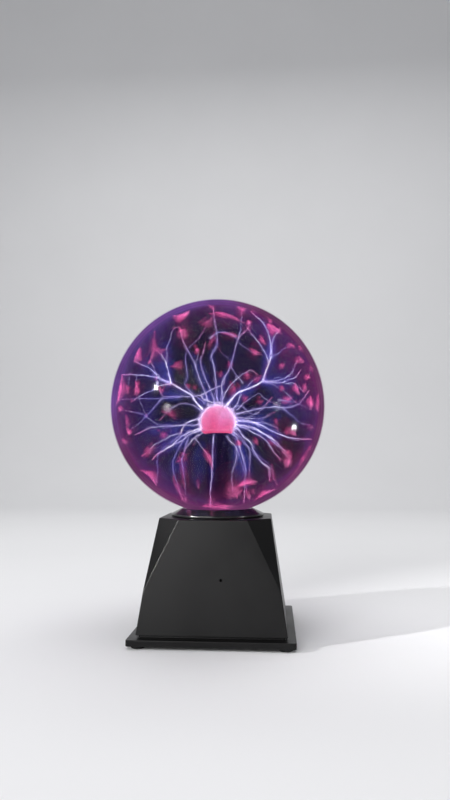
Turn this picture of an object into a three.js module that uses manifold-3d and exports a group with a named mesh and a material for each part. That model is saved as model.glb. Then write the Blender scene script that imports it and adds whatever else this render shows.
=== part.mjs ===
// An eight-inch plasma ball: a sealed glass globe with a central electrode on a glass stem, held by a
// collar on a tapered four-sided pedestal whose upper corners are cut off by triangular facets. The
// pedestal stands on a flanged base plate and hides the driver board, flyback transformer and wiring.
// Millimetres, +Z up. The origin is the centre of the footprint, on the surface that the feet stand on.
// The front faces -Y. The rear wall (+Y) carries the rocker switch and the power inlet.
import * as THREE from "three";
import { ConvexGeometry } from "three/addons/geometries/ConvexGeometry.js";
import { mergeVertices } from "three/addons/utils/BufferGeometryUtils.js";
import Module from "manifold-3d";

const wasm = await Module();
wasm.setup();

// ---- Driving dimensions -----------------------------------------------------------------------------
const GAP = 0.3; // left between pieces that touch
const GLOBE_RADIUS = 101.6;
const GLOBE_WALL = 2.2;
const GLOBE_Z = 209; // height of the globe's centre
const NECK_RADIUS = 26;
const NECK_WALL = 2;
const NECK_END_Z = 86;
const STEM_RADIUS = 10.5;
const STEM_WALL = 1.5;
const BULB_RADIUS = 17.5;
const BULB_WALL = 1.8;
const BULB_Z = 193;
const BULB_FLAT_Z = 182.6; // the shoulder where the bulb meets its stem

const BODY_BOTTOM_Z = 10;
const BODY_TOP_Z = 105;
const BODY_BOTTOM_HALF = 64;
const BODY_TOP_HALF = 50.5;
const FACET_START_Z = 45; // the corner facets start here and widen upwards
const FACET_TOP_LEG = 20.5; // how much of each side a facet takes at the top
const WALL = 2.5;

const FOOT_HEIGHT = 2.2;
const FOOT_RADIUS = 6;
const FOOT_AT = 62;
const PLATE_BOTTOM_Z = 2.5;
const PLATE_TOP_Z = 8;
const PLATE_HALF = 71;
const PLATE_FLOOR_Z = 5;
const STEP_HALF = 61.8; // the recessed step that leaves a shadow line under the body
const LIP_TOP_Z = 12.5;
const LIP_WALL = 3.2;
const BODY_SCREW_AT = 54;

const COLLAR_RADIUS = 43.4;
const COLLAR_LIP_RADIUS = 32.3;
const COLLAR_BORE = 27.8;
const CLAMP_SCREW_CIRCLE = 36;
const CLAMP_TOP_Z = 99;
const CLAMP_THICKNESS = 3;

const BOARD_LENGTH = 84;
const BOARD_WIDTH = 70;
const BOARD_THICKNESS = 1.6;
const STANDOFF_TOP_Z = 12;
const BOARD_HOLE_X = 37;
const BOARD_HOLE_Y = 30;

const REAR_PANEL_Z = 32; // height of the switch and inlet centres on the rear wall
const SWITCH_X = 18;
const INLET_X = -18;
const ROCKER_TILT = 12; // degrees each side of the centre position
const MICROPHONE_X = 7.7; // the pinhole for the microphone, in the front wall
const MICROPHONE_Z = 55;
const PINHOLE_RADIUS = 1.3;

// Screws: the head's radius and height, then the shank's radius and length.
const CLAMP_SCREW = { head: 3, crown: 1.8, shank: 1.1, length: 9 };
const BASE_SCREW = { head: 3.4, crown: 2.2, shank: 1.4, length: 16 };
const BOARD_SCREW = { head: 2.8, crown: 1.7, shank: 1.1, length: 7 };

const BOARD_Z = STANDOFF_TOP_Z + GAP;
const BOARD_TOP_Z = BOARD_Z + BOARD_THICKNESS;
const SEAT_Z = BOARD_TOP_Z + GAP; // underside of what stands on the board
const DECK_UNDERSIDE_Z = BODY_TOP_Z - WALL;
const TAPER = Math.atan((BODY_BOTTOM_HALF - BODY_TOP_HALF) / (BODY_TOP_Z - BODY_BOTTOM_Z));

// Half-width of the pedestal's outside at a height.
function bodyHalf(z) {
  return BODY_BOTTOM_HALF - (z - BODY_BOTTOM_Z) * Math.tan(TAPER);
}

// ---- Finishes ---------------------------------------------------------------------------------------
function finish(color, roughness, metalness = 0, extra = {}) {
  return new THREE.MeshStandardMaterial({ color, roughness, metalness, ...extra });
}
const clearGlass = finish(0x3a2a66, 0.05, 0, { transparent: true, opacity: 0.35 });
const stemGlass = finish(0x1b1830, 0.1);
const bulbGlow = finish(0xe8709f, 0.3);
const steelWool = finish(0x77777b, 0.6, 1);
const blackPlastic = finish(0x2b2b2c, 0.45);
const glossBlack = finish(0x17171a, 0.2);
const blackRubber = finish(0x1a1a1a, 0.9);
const greyRubber = finish(0xb9b9b4, 0.8);
const screwSteel = finish(0x9a9a9d, 0.35, 1);
const brownBoard = finish(0x8a5a2b, 0.6);
const ferrite = finish(0x35363a, 0.7);
const coilResin = finish(0x20211f, 0.4);
const copperWire = finish(0xb0632f, 0.35, 1);
const aluminium = finish(0xb8babd, 0.4, 1);
const nickel = finish(0xc9c6bd, 0.25, 1);
const capSleeve = finish(0x1c3a6e, 0.4);
const filmYellow = finish(0xc99a2c, 0.5);
const redWire = finish(0xb02020, 0.5);
const blackWire = finish(0x1c1c1c, 0.5);
const blueWire = finish(0x2b4fa0, 0.5);
const whiteWire = finish(0xd8d6cf, 0.5);
const resistorBeige = finish(0xc8ab7a, 0.6);

// ---- Solids -----------------------------------------------------------------------------------------
// A closed geometry as a solid for joining and cutting.
function solid(geometry) {
  const bare = geometry.index ? geometry.toNonIndexed() : geometry.clone();
  bare.deleteAttribute("normal");
  bare.deleteAttribute("uv");
  const merged = mergeVertices(bare, 1e-4);
  return new wasm.Manifold(
    new wasm.Mesh({
      numProp: 3,
      vertProperties: merged.attributes.position.array,
      triVerts: new Uint32Array(merged.index.array),
    }),
  );
}

// A solid as a geometry again.
function geometryOf(shape) {
  const mesh = shape.getMesh();
  const geometry = new THREE.BufferGeometry();
  geometry.setAttribute("position", new THREE.BufferAttribute(new Float32Array(mesh.vertProperties), 3));
  geometry.setIndex(new THREE.BufferAttribute(new Uint32Array(mesh.triVerts), 1));
  geometry.computeVertexNormals();
  return geometry;
}

// A box from its lowest to its highest corner.
function box(low, high) {
  const size = high.map((v, i) => v - low[i]);
  const centre = high.map((v, i) => (v + low[i]) / 2);
  return solid(new THREE.BoxGeometry(...size).translate(...centre));
}

// A body of revolution about +Z from [radius, height] pairs that run up the outside.
function turned(profile, segments) {
  const points = profile.map(([r, z]) => new THREE.Vector2(r, z));
  return solid(new THREE.LatheGeometry(points, segments).rotateX(Math.PI / 2));
}

// A ring of rectangular section about +Z.
function ring(inner, outer, low, high, segments) {
  return turned([[inner, low], [outer, low], [outer, high], [inner, high], [inner, low]], segments);
}

// An upright cylinder standing on a point.
function post(x, y, low, high, radius, segments = 12) {
  return turned([[0, low], [radius, low], [radius, high], [0, high]], segments).translate([x, y, 0]);
}

// A hull round points.
function hull(points) {
  return solid(new ConvexGeometry(points.map((p) => new THREE.Vector3(...p))));
}

// Arc points in a radius-height plane, angles in degrees above the horizontal.
function arc(centreZ, radius, from, to, steps) {
  return Array.from({ length: steps + 1 }, (_, i) => {
    const a = THREE.MathUtils.degToRad(from + ((to - from) * i) / steps);
    return [Math.max(0, radius * Math.cos(a)), centreZ + radius * Math.sin(a)];
  });
}

// The flat outline of a box turned into a prism, with the corners rounded.
function roundedSlab(half, radius, low, high) {
  const shape = new THREE.Shape();
  const inner = half - radius;
  shape.moveTo(-inner, -half);
  shape.lineTo(inner, -half);
  shape.absarc(inner, -inner, radius, -Math.PI / 2, 0);
  shape.absarc(inner, inner, radius, 0, Math.PI / 2);
  shape.absarc(-inner, inner, radius, Math.PI / 2, Math.PI);
  shape.absarc(-inner, -inner, radius, Math.PI, 1.5 * Math.PI);
  const flat = { depth: high - low, bevelEnabled: false, curveSegments: 4 };
  return solid(new THREE.ExtrudeGeometry(shape, flat).translate(0, 0, low));
}

// A round wire along a smooth route.
function wire(route, radius, steps) {
  const sides = 8;
  const section = new THREE.Shape();
  for (let i = 0; i < sides; i++) {
    const a = (i / sides) * 2 * Math.PI;
    section[i ? "lineTo" : "moveTo"](radius * Math.cos(a), radius * Math.sin(a));
  }
  const path = new THREE.CatmullRomCurve3(route.map((p) => new THREE.Vector3(...p)));
  return solid(new THREE.ExtrudeGeometry(section, { steps, extrudePath: path }));
}

// The four corners of a square, as [x, y].
function corners(x, y = x) {
  return [[-x, -y], [x, -y], [x, y], [-x, y]];
}

// ---- Assembly tree ----------------------------------------------------------------------------------
const lamp = new THREE.Group();

function add(name, shape, material, parent = lamp) {
  const mesh = new THREE.Mesh(shape.isBufferGeometry ? shape : geometryOf(shape), material);
  mesh.name = name;
  parent.add(mesh);
  return mesh;
}

// A frame on the outside of a pedestal wall: x across, y up the slope, z along the outward normal.
function panelFrame(x, z, rear) {
  const side = rear ? 1 : -1;
  const frame = new THREE.Group();
  frame.matrix.makeBasis(
    new THREE.Vector3(-side, 0, 0),
    new THREE.Vector3(0, -side * Math.sin(TAPER), Math.cos(TAPER)),
    new THREE.Vector3(0, side * Math.cos(TAPER), Math.sin(TAPER)),
  );
  frame.matrix.setPosition(x, side * bodyHalf(z), z);
  frame.matrix.decompose(frame.position, frame.quaternion, frame.scale);
  frame.updateMatrixWorld(true);
  return frame;
}

const switchFrame = panelFrame(SWITCH_X, REAR_PANEL_Z, true);
const inletFrame = panelFrame(INLET_X, REAR_PANEL_Z, true);
const microphoneFrame = panelFrame(MICROPHONE_X, MICROPHONE_Z, false);
lamp.add(switchFrame, inletFrame, microphoneFrame);

// A solid given in a panel's frame, moved into the lamp's frame.
function onPanel(frame, shape) {
  return shape.transform(frame.matrixWorld.elements);
}

// A point given in a panel's frame, in the lamp's frame.
function pointOn(frame, x, y, z) {
  return new THREE.Vector3(x, y, z).applyMatrix4(frame.matrixWorld).toArray();
}

// ---- Glass ------------------------------------------------------------------------------------------
// The globe: a thin sphere that runs down into a straight open neck.
function globeGlass() {
  const inside = GLOBE_RADIUS - GLOBE_WALL;
  const neckInside = NECK_RADIUS - NECK_WALL;
  const outerStart = -THREE.MathUtils.radToDeg(Math.acos(NECK_RADIUS / GLOBE_RADIUS));
  const innerStart = -THREE.MathUtils.radToDeg(Math.acos(neckInside / inside));
  const outer = arc(GLOBE_Z, GLOBE_RADIUS, outerStart, 90, 13);
  const inner = arc(GLOBE_Z, inside, 90, innerStart, 13);
  return turned([[neckInside, NECK_END_Z], [NECK_RADIUS, NECK_END_Z], ...outer, ...inner,
    [neckInside, NECK_END_Z]], 36);
}

// The stem: a glass tube whose foot flares out like a trumpet and closes the neck.
function glassStem() {
  const bore = STEM_RADIUS - STEM_WALL;
  const flare = NECK_RADIUS - NECK_WALL - GAP;
  return turned([
    [flare - 1.4, NECK_END_Z], [flare, NECK_END_Z], [flare, NECK_END_Z + 1.8], [15, NECK_END_Z + 6],
    [STEM_RADIUS, NECK_END_Z + 14], [STEM_RADIUS, BULB_FLAT_Z + 1.4], [bore, BULB_FLAT_Z + 1.4],
    [bore, NECK_END_Z + 13.5], [13.4, NECK_END_Z + 5], [flare - 1.4, NECK_END_Z],
  ], 24);
}

// The electrode bulb: a hollow glass ball with a flat shoulder round the stem.
function electrodeBulb() {
  const inside = BULB_RADIUS - BULB_WALL;
  const mouth = STEM_RADIUS + GAP;
  const shoulder = -THREE.MathUtils.radToDeg(Math.asin((BULB_Z - BULB_FLAT_Z) / BULB_RADIUS));
  const floor = BULB_FLAT_Z + BULB_WALL;
  const innerShoulder = -THREE.MathUtils.radToDeg(Math.asin((BULB_Z - floor) / inside));
  return turned([[mouth, floor], [mouth, BULB_FLAT_Z], ...arc(BULB_Z, BULB_RADIUS, shoulder, 90, 8),
    ...arc(BULB_Z, inside, 90, innerShoulder, 7), [mouth, floor]], 24);
}

// The wad of steel wool that fills the bulb and carries the high voltage to the glass.
function electrodeFill() {
  const radius = BULB_RADIUS - BULB_WALL - GAP;
  const low = BULB_FLAT_Z + BULB_WALL + GAP;
  const start = -THREE.MathUtils.radToDeg(Math.asin((BULB_Z - low) / radius));
  return turned([[0, low], ...arc(BULB_Z, radius, start, 90, 7)], 20);
}

add("globe_glass", globeGlass(), clearGlass);
add("glass_stem", glassStem(), stemGlass);
add("electrode_bulb", electrodeBulb(), bulbGlow);
add("electrode_fill", electrodeFill(), steelWool);

// The sealed-off pip where the globe was pumped and filled, beside the open foot of the stem.
const PIP_X = 22.8;
const pip = turned([[0, 74], [1, 75], [2.6, 79], [2.6, NECK_END_Z - GAP], [0, NECK_END_Z - GAP]], 12);
add("exhaust_pip", pip.translate([PIP_X, 0, 0]), stemGlass);

// ---- Collar and clamp -------------------------------------------------------------------------------
const clampAngles = [90, 210, 330].map((degrees) => THREE.MathUtils.degToRad(degrees));
const clampPoints = clampAngles.map((a) => [CLAMP_SCREW_CIRCLE * Math.cos(a), CLAMP_SCREW_CIRCLE * Math.sin(a)]);

// Height of the globe's outside at a radius, below its middle.
function globeUnderside(radius) {
  return GLOBE_Z - Math.sqrt(GLOBE_RADIUS ** 2 - radius ** 2);
}

// The collar: a low cone from the deck to the glass, with three screw bosses that pass the deck.
function topCollar() {
  const low = BODY_TOP_Z + GAP;
  const clear = GAP + 0.2; // the faceted globe needs a little more than the usual gap
  let collar = turned([
    [COLLAR_BORE, low], [COLLAR_RADIUS, low], [COLLAR_RADIUS, low + 1.9], [COLLAR_RADIUS - 0.9, low + 2.7],
    [COLLAR_LIP_RADIUS + 1.2, globeUnderside(COLLAR_LIP_RADIUS) - clear],
    [COLLAR_LIP_RADIUS, globeUnderside(COLLAR_LIP_RADIUS) - clear],
    [COLLAR_BORE, globeUnderside(COLLAR_BORE) - clear], [COLLAR_BORE, low],
  ], 40);
  for (const [x, y] of clampPoints) {
    collar = collar
      .add(post(x, y, CLAMP_TOP_Z + GAP, low + 1, 3.5))
      .subtract(post(x, y, CLAMP_TOP_Z, low + 1.5, 1.4, 10));
  }
  return collar;
}

// The clamp ring under the deck, which pulls the collar down.
function clampRing() {
  let clamp = ring(NECK_RADIUS + 0.8, 41, CLAMP_TOP_Z - CLAMP_THICKNESS, CLAMP_TOP_Z, 32);
  for (const [x, y] of clampPoints) {
    clamp = clamp.subtract(post(x, y, CLAMP_TOP_Z - CLAMP_THICKNESS - 1, CLAMP_TOP_Z + 1, 1.8, 10));
  }
  return clamp;
}

add("top_collar", topCollar(), glossBlack);
add("neck_gasket", ring(NECK_RADIUS + GAP, 31, CLAMP_TOP_Z + GAP, DECK_UNDERSIDE_Z - GAP, 32), greyRubber);
add("neck_clamp_ring", clampRing(), blackPlastic);

// A pan-head screw with a cross recess. Its head's seat is at z = 0 and the shank runs up +Z.
function screw({ head, crown, shank, length }) {
  const body = turned([
    [0, -crown], [head * 0.7, -crown], [head, -crown * 0.45], [head, 0],
    [shank, 0], [shank, length - shank], [0, length],
  ], 10);
  const slot = head * 0.55;
  const width = head * 0.13;
  const floor = -crown * 0.4;
  return body
    .subtract(box([-slot, -width, -crown - 1], [slot, width, floor]))
    .subtract(box([-width, -slot, -crown - 1], [width, slot, floor]));
}

clampPoints.forEach(([x, y], i) => {
  const seat = CLAMP_TOP_Z - CLAMP_THICKNESS - GAP;
  add(`clamp_screw_${i + 1}`, screw(CLAMP_SCREW), screwSteel).position.set(x, y, seat);
});

// ---- Pedestal shell ---------------------------------------------------------------------------------
// The pedestal's outer form, moved in by an inset, between two heights.
function pedestalForm(inset, low, high) {
  const slantInset = inset / Math.cos(TAPER);
  const kink = bodyHalf(FACET_START_Z) - slantInset;
  const top = bodyHalf(high) - slantInset;
  const share = (high - FACET_START_Z) / (BODY_TOP_Z - FACET_START_Z);
  const leg = FACET_TOP_LEG * share;
  const bottom = bodyHalf(low) - slantInset;
  const points = [];
  for (const [sx, sy] of corners(1)) {
    points.push([sx * bottom, sy * bottom, low], [sx * kink, sy * kink, FACET_START_Z]);
    points.push([sx * (top - leg), sy * top, high], [sx * top, sy * (top - leg), high]);
  }
  return hull(points);
}

const BOSS_TOP_Z = 30;

function pedestalShell() {
  const cavity = pedestalForm(WALL, BODY_BOTTOM_Z - 1, DECK_UNDERSIDE_Z);
  let shell = pedestalForm(0, BODY_BOTTOM_Z, BODY_TOP_Z).subtract(cavity);
  for (const [x, y] of corners(BODY_SCREW_AT)) {
    const rib = new THREE.BoxGeometry(2.4, 12, BOSS_TOP_Z - BODY_BOTTOM_Z)
      .translate(0, 6, (BOSS_TOP_Z + BODY_BOTTOM_Z) / 2)
      .rotateZ(Math.atan2(y, x) - Math.PI / 2)
      .translate(x, y, 0);
    shell = shell
      .add(solid(rib).intersect(pedestalForm(0.5, BODY_BOTTOM_Z, BODY_TOP_Z)))
      .add(post(x, y, BODY_BOTTOM_Z, BOSS_TOP_Z, 4));
  }
  for (const [x, y] of corners(BODY_SCREW_AT)) {
    shell = shell.subtract(post(x, y, BODY_BOTTOM_Z - 1, BOSS_TOP_Z - 3, 1.7, 10));
  }
  for (const [x, y] of clampPoints) {
    shell = shell.subtract(post(x, y, DECK_UNDERSIDE_Z - 1, BODY_TOP_Z + 1, 3.9));
  }
  return shell
    .subtract(post(0, 0, DECK_UNDERSIDE_Z - 1, BODY_TOP_Z + 1, NECK_RADIUS + 1.2, 40))
    .subtract(onPanel(switchFrame, box([-6.6, -9.8, -6], [6.6, 9.8, 3])))
    .subtract(onPanel(inletFrame, post(0, 0, -6, 3, 5.8, 20)))
    .subtract(onPanel(microphoneFrame, post(0, 0, -6, 3, PINHOLE_RADIUS)));
}

add("pedestal_shell", pedestalShell(), blackPlastic);

// ---- Base plate, feet and screws --------------------------------------------------------------------
function basePlate() {
  let plate = roundedSlab(PLATE_HALF, 2, PLATE_BOTTOM_Z, PLATE_TOP_Z)
    .add(box([-STEP_HALF, -STEP_HALF, PLATE_TOP_Z - 1], [STEP_HALF, STEP_HALF, BODY_BOTTOM_Z - GAP]))
    .add(box([1 - STEP_HALF, 1 - STEP_HALF, PLATE_TOP_Z - 1], [STEP_HALF - 1, STEP_HALF - 1, LIP_TOP_Z]));
  const pocket = STEP_HALF - LIP_WALL;
  plate = plate.subtract(box([-pocket, -pocket, PLATE_FLOOR_Z], [pocket, pocket, LIP_TOP_Z + 1]));
  for (const [x, y] of corners(BODY_SCREW_AT)) {
    // Clears the body's corner bosses, which reach down inside the lip.
    plate = plate
      .subtract(box([x - 9, y - 9, BODY_BOTTOM_Z - GAP], [x + 9, y + 9, LIP_TOP_Z + 1]))
      .add(post(x, y, PLATE_FLOOR_Z - 1, BODY_BOTTOM_Z - GAP, 6.2));
  }
  for (const [x, y] of corners(BODY_SCREW_AT)) {
    plate = plate
      .subtract(post(x, y, PLATE_BOTTOM_Z - 1, PLATE_FLOOR_Z + 1, 4.1))
      .subtract(post(x, y, PLATE_BOTTOM_Z - 1, LIP_TOP_Z, 1.9, 12));
  }
  for (const [x, y] of corners(BOARD_HOLE_X, BOARD_HOLE_Y)) {
    plate = plate
      .add(post(x, y, PLATE_FLOOR_Z - 1, STANDOFF_TOP_Z, 3.6))
      .subtract(post(x, y, PLATE_FLOOR_Z + 0.8, STANDOFF_TOP_Z + 1, 1.5, 10));
  }
  for (let i = -3; i <= 3; i++) {
    plate = plate.subtract(box([i * 8 - 1.4, -14, PLATE_BOTTOM_Z - 1], [i * 8 + 1.4, 14, PLATE_FLOOR_Z + 1]));
  }
  return plate;
}

add("base_plate", basePlate(), blackPlastic);

corners(FOOT_AT).forEach(([x, y], i) => {
  const foot = turned([[0, 0], [FOOT_RADIUS - 0.5, 0], [FOOT_RADIUS, 0.6], [FOOT_RADIUS, FOOT_HEIGHT],
    [0, FOOT_HEIGHT]], 16);
  add(`rubber_foot_${i + 1}`, foot, blackRubber).position.set(x, y, 0);
});

corners(BODY_SCREW_AT).forEach(([x, y], i) => {
  const seat = PLATE_FLOOR_Z + 1 - GAP;
  add(`base_screw_${i + 1}`, screw(BASE_SCREW), screwSteel).position.set(x, y, seat);
});

// ---- Driver board -----------------------------------------------------------------------------------
function driverBoard() {
  const halfX = BOARD_LENGTH / 2;
  const halfY = BOARD_WIDTH / 2;
  let board = box([-halfX, -halfY, BOARD_Z], [halfX, halfY, BOARD_TOP_Z]);
  for (const [x, y] of corners(BOARD_HOLE_X, BOARD_HOLE_Y)) {
    board = board.subtract(post(x, y, BOARD_Z - 1, BOARD_TOP_Z + 1, 1.7, 12));
  }
  return board;
}

add("driver_board", driverBoard(), brownBoard);

corners(BOARD_HOLE_X, BOARD_HOLE_Y).forEach(([x, y], i) => {
  const held = add(`board_screw_${i + 1}`, screw(BOARD_SCREW), screwSteel);
  held.rotation.x = Math.PI;
  held.position.set(x, y, SEAT_Z);
});

// The flyback transformer: a ferrite loop with the moulded high-voltage coil on one leg and the drive
// winding on the other.
const HV_LEG_X = -22;
const DRIVE_LEG_X = 4;
const CORE_TOP_Z = 60;
const YOKE = 8;
const CORE_HALF_Y = 6;

function flybackCore() {
  const low = [HV_LEG_X - 7, -CORE_HALF_Y, SEAT_Z];
  const high = [DRIVE_LEG_X + 6, CORE_HALF_Y, CORE_TOP_Z];
  return box(low, [high[0], high[1], SEAT_Z + YOKE])
    .add(box([low[0], low[1], CORE_TOP_Z - YOKE], high))
    .add(post(HV_LEG_X, 0, SEAT_Z + 1, CORE_TOP_Z - 1, 5.2))
    .add(post(DRIVE_LEG_X, 0, SEAT_Z + 1, CORE_TOP_Z - 1, 5.2));
}

const COIL_LOW_Z = SEAT_Z + YOKE + GAP;
const COIL_HIGH_Z = CORE_TOP_Z - YOKE - GAP;

// The coil, a potted block whose high-voltage spout points up beside the core.
const SPOUT_Y = 12;
const SPOUT_TOP_Z = COIL_HIGH_Z + 9;
function highVoltageCoil() {
  return ring(5.6, 15, COIL_LOW_Z, COIL_HIGH_Z, 24)
    .add(post(0, SPOUT_Y, COIL_HIGH_Z - 8, SPOUT_TOP_Z, 2.8))
    .translate([HV_LEG_X, 0, 0]);
}

add("flyback_core", flybackCore(), ferrite);
add("flyback_coil", highVoltageCoil(), coilResin);
add("drive_winding", ring(5.6, 8, COIL_LOW_Z + 2, COIL_HIGH_Z - 2, 20).translate([DRIVE_LEG_X, 0, 0]), copperWire);

// The high-voltage lead: from the coil's spout up through the open foot of the stem to the wool.
const leadTop = BULB_FLAT_Z + BULB_WALL;
const LEAD_RADIUS = 1.6;
add("high_voltage_lead", wire([
  [HV_LEG_X, SPOUT_Y, SPOUT_TOP_Z + GAP], [HV_LEG_X, SPOUT_Y, SPOUT_TOP_Z + 5], [-14, 9, 76],
  [-4, 3, 86], [0, 0, 100], [0, 0, 125], [0, 0, 155], [0, 0, leadTop],
], LEAD_RADIUS, 24), redWire);

// The switching transistor, bolted to a finned heatsink.
const SINK_X = 30;
function heatsink() {
  let sink = box([SINK_X - 1.5, -16, SEAT_Z], [SINK_X + 1.5, 16, SEAT_Z + 26]);
  for (let y = -16; y <= 14; y += 6) {
    sink = sink.add(box([SINK_X, y, SEAT_Z], [SINK_X + 10, y + 2, SEAT_Z + 26]));
  }
  return sink;
}

function transistor() {
  const face = SINK_X - 1.5 - GAP;
  const low = SEAT_Z + 6;
  let part = box([face - 1.3, -5, low], [face, 5, low + 15]).add(box([face - 4.5, -5, low], [face, 5, low + 9]));
  for (const y of [-2.5, 0, 2.5]) {
    part = part.add(box([face - 3, y - 0.4, SEAT_Z], [face - 2.2, y + 0.4, low + 1]));
  }
  return part;
}

add("heatsink", heatsink(), aluminium);
add("switching_transistor", transistor(), coilResin);
add("smoothing_capacitor", post(22, -24, SEAT_Z, SEAT_Z + 24, 8, 20), capSleeve);
add("tuning_capacitor", box([8, 20, SEAT_Z], [22, 27, SEAT_Z + 11]), filmYellow);

// A dual-in-line chip with eight legs.
function timerChip() {
  let chip = box([-9.6, -29.2, SEAT_Z + 0.8], [0, -22.8, SEAT_Z + 4.2]);
  for (let i = 0; i < 4; i++) {
    const x = -8.6 + i * 2.54;
    chip = chip
      .add(box([x - 0.4, -30, SEAT_Z], [x + 0.4, -29, SEAT_Z + 2.4]))
      .add(box([x - 0.4, -23, SEAT_Z], [x + 0.4, -22, SEAT_Z + 2.4]));
  }
  return chip;
}
add("timer_chip", timerChip(), coilResin);

// Two power resistors lying above the board on their bent leads.
[-29, -22].forEach((x, i) => {
  const low = SEAT_Z + 1.2;
  const radius = 2;
  const body = turned([[0, -5], [radius, -5], [radius, 5], [0, 5]], 12).rotate([90, 0, 0]);
  const resistor = body
    .translate([x, -24, low + radius])
    .add(box([x - 0.4, -31, low + radius - 0.4], [x + 0.4, -17, low + radius + 0.4]))
    .add(box([x - 0.4, -31, SEAT_Z], [x + 0.4, -30.2, low + radius + 0.4]))
    .add(box([x - 0.4, -17.8, SEAT_Z], [x + 0.4, -17, low + radius + 0.4]));
  add(`power_resistor_${i + 1}`, resistor, resistorBeige);
});

// The white header that the switch and inlet wires plug into.
const HEADER_Y = 27;
add("wire_header", box([-30, HEADER_Y, SEAT_Z], [-10, HEADER_Y + 6, SEAT_Z + 8]), whiteWire);

// ---- Microphone behind its pinhole ------------------------------------------------------------------
const capsule = turned([[0, -WALL - GAP - 6], [4.8, -WALL - GAP - 6], [4.8, -WALL - GAP], [0, -WALL - GAP]], 20);
add("microphone", capsule, nickel, microphoneFrame);

// ---- Rocker switch on the rear wall -----------------------------------------------------------------
const POCKET_FLOOR = -4.4;

function switchHousing() {
  return box([-7.5, -10.5, GAP], [7.5, 10.5, 2])
    .add(box([-6.3, -9.5, -14], [6.3, 9.5, 1]))
    .subtract(box([-4.9, -7.9, POCKET_FLOOR], [4.9, 7.9, 3]));
}

// The rocker about its pivot: a shallow V on top, and a round keel below.
function rocker() {
  const outline = new THREE.Shape();
  outline.moveTo(-7, 0.8);
  outline.absarc(0, 1.6, 5, Math.PI * 1.08, Math.PI * 1.92);
  outline.lineTo(7, 0.8);
  outline.lineTo(7, 3);
  outline.lineTo(0, 2);
  outline.lineTo(-7, 3);
  outline.closePath();
  const flat = { depth: 9, bevelEnabled: false, curveSegments: 8 };
  const across = new THREE.Matrix4().makeBasis(
    new THREE.Vector3(0, 1, 0), new THREE.Vector3(0, 0, 1), new THREE.Vector3(1, 0, 0));
  return solid(new THREE.ExtrudeGeometry(outline, flat).translate(0, 0, -4.5).applyMatrix4(across));
}

add("switch_housing", switchHousing(), glossBlack, switchFrame);
const rockerMesh = add("switch_rocker", rocker(), glossBlack, switchFrame);
rockerMesh.rotation.x = -THREE.MathUtils.degToRad(ROCKER_TILT); // at rest the upper end is in: on

const TERMINALS = [-6, 0, 6];
TERMINALS.forEach((y, i) => {
  add(`switch_terminal_${i + 1}`, box([-2.4, y - 0.4, -21], [2.4, y + 0.4, -14 - GAP]), nickel, switchFrame);
});

// ---- Power inlet on the rear wall -------------------------------------------------------------------
const SOCKET_RADIUS = 3.1;
const SOCKET_DEPTH = 9;

function inletBody() {
  return turned([
    [0, -13], [5, -13], [5, -6], [5.4, -6], [5.4, GAP], [7.2, GAP], [7.2, 1.6], [6.6, 2.2],
    [SOCKET_RADIUS, 2.2], [SOCKET_RADIUS, -SOCKET_DEPTH], [0, -SOCKET_DEPTH],
  ], 24);
}

// The six-sided lock nut on the inside of the wall.
const nutFace = -WALL - GAP;
const inletNut = post(0, 0, nutFace - 2.4, nutFace, 8, 6).subtract(post(0, 0, nutFace - 3, nutFace + 1, 5.8, 20));

add("inlet_socket", inletBody(), glossBlack, inletFrame);
add("inlet_pin", post(0, 0, -SOCKET_DEPTH + GAP, 0.8, 1, 12), nickel, inletFrame);
add("inlet_nut", inletNut, nickel, inletFrame);
const INLET_TABS = [-2.6, 2.6];
INLET_TABS.forEach((x, i) => {
  add(`inlet_tab_${i + 1}`, box([x - 1, -0.3, -18.5], [x + 1, 0.3, -13 - GAP]), nickel, inletFrame);
});

// ---- Wiring -----------------------------------------------------------------------------------------
const WIRE_RADIUS = 0.9;
const WIRE_STEPS = 10;
const TAB_END = -18.5 - GAP - WIRE_RADIUS;
const TERMINAL_END = -21 - GAP - WIRE_RADIUS;

// A wire from a point to the header, which it enters from above.
function headerWire(from, under, headerX) {
  const top = SEAT_Z + 8 + GAP;
  return wire([from, under, [headerX, HEADER_Y + 3, top + 9], [headerX, HEADER_Y + 3, top]], WIRE_RADIUS, WIRE_STEPS);
}

add("inlet_wire_black", headerWire(pointOn(inletFrame, INLET_TABS[1], 0, TAB_END),
  pointOn(inletFrame, INLET_TABS[1] + 2, 3, TAB_END - 4), -26), blackWire);
add("inlet_wire_red", wire([
  pointOn(inletFrame, INLET_TABS[0], 0, TAB_END), pointOn(inletFrame, -6, 4, TAB_END - 5),
  pointOn(switchFrame, 18, 6, TERMINAL_END - 4), pointOn(switchFrame, 0, TERMINALS[1], TERMINAL_END),
], WIRE_RADIUS, WIRE_STEPS), redWire);
add("switch_wire_blue", headerWire(pointOn(switchFrame, 0, TERMINALS[0], TERMINAL_END),
  pointOn(switchFrame, 10, TERMINALS[0], TERMINAL_END - 5), -13), blueWire);
add("switch_wire_white", headerWire(pointOn(switchFrame, 0, TERMINALS[2], TERMINAL_END),
  pointOn(switchFrame, 16, TERMINALS[2] + 6, TERMINAL_END - 8), -18), whiteWire);
add("microphone_wire", wire([
  pointOn(microphoneFrame, 0, 0, -WALL - 6 - 2 * GAP - WIRE_RADIUS), [10, -38, 50], [14, -33, 32],
  [8, -30, 22], [6, -26, SEAT_Z + 0.2],
], WIRE_RADIUS, WIRE_STEPS), blackWire);

export default lamp;
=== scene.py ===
"""A plasma ball on a tapered pedestal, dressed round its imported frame. Metres, +Z up, front towards -Y.

The frame holds the housing, board, switch and inlet. This script gives every node its finish, puts finer
surfaces in place of the faceted glass and mouldings, and adds what has no solid: the glowing gas, its
streamers, and the pads of light where they meet the glass.
"""

import math

import bpy
import numpy as np
from mathutils import Matrix, Vector


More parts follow.
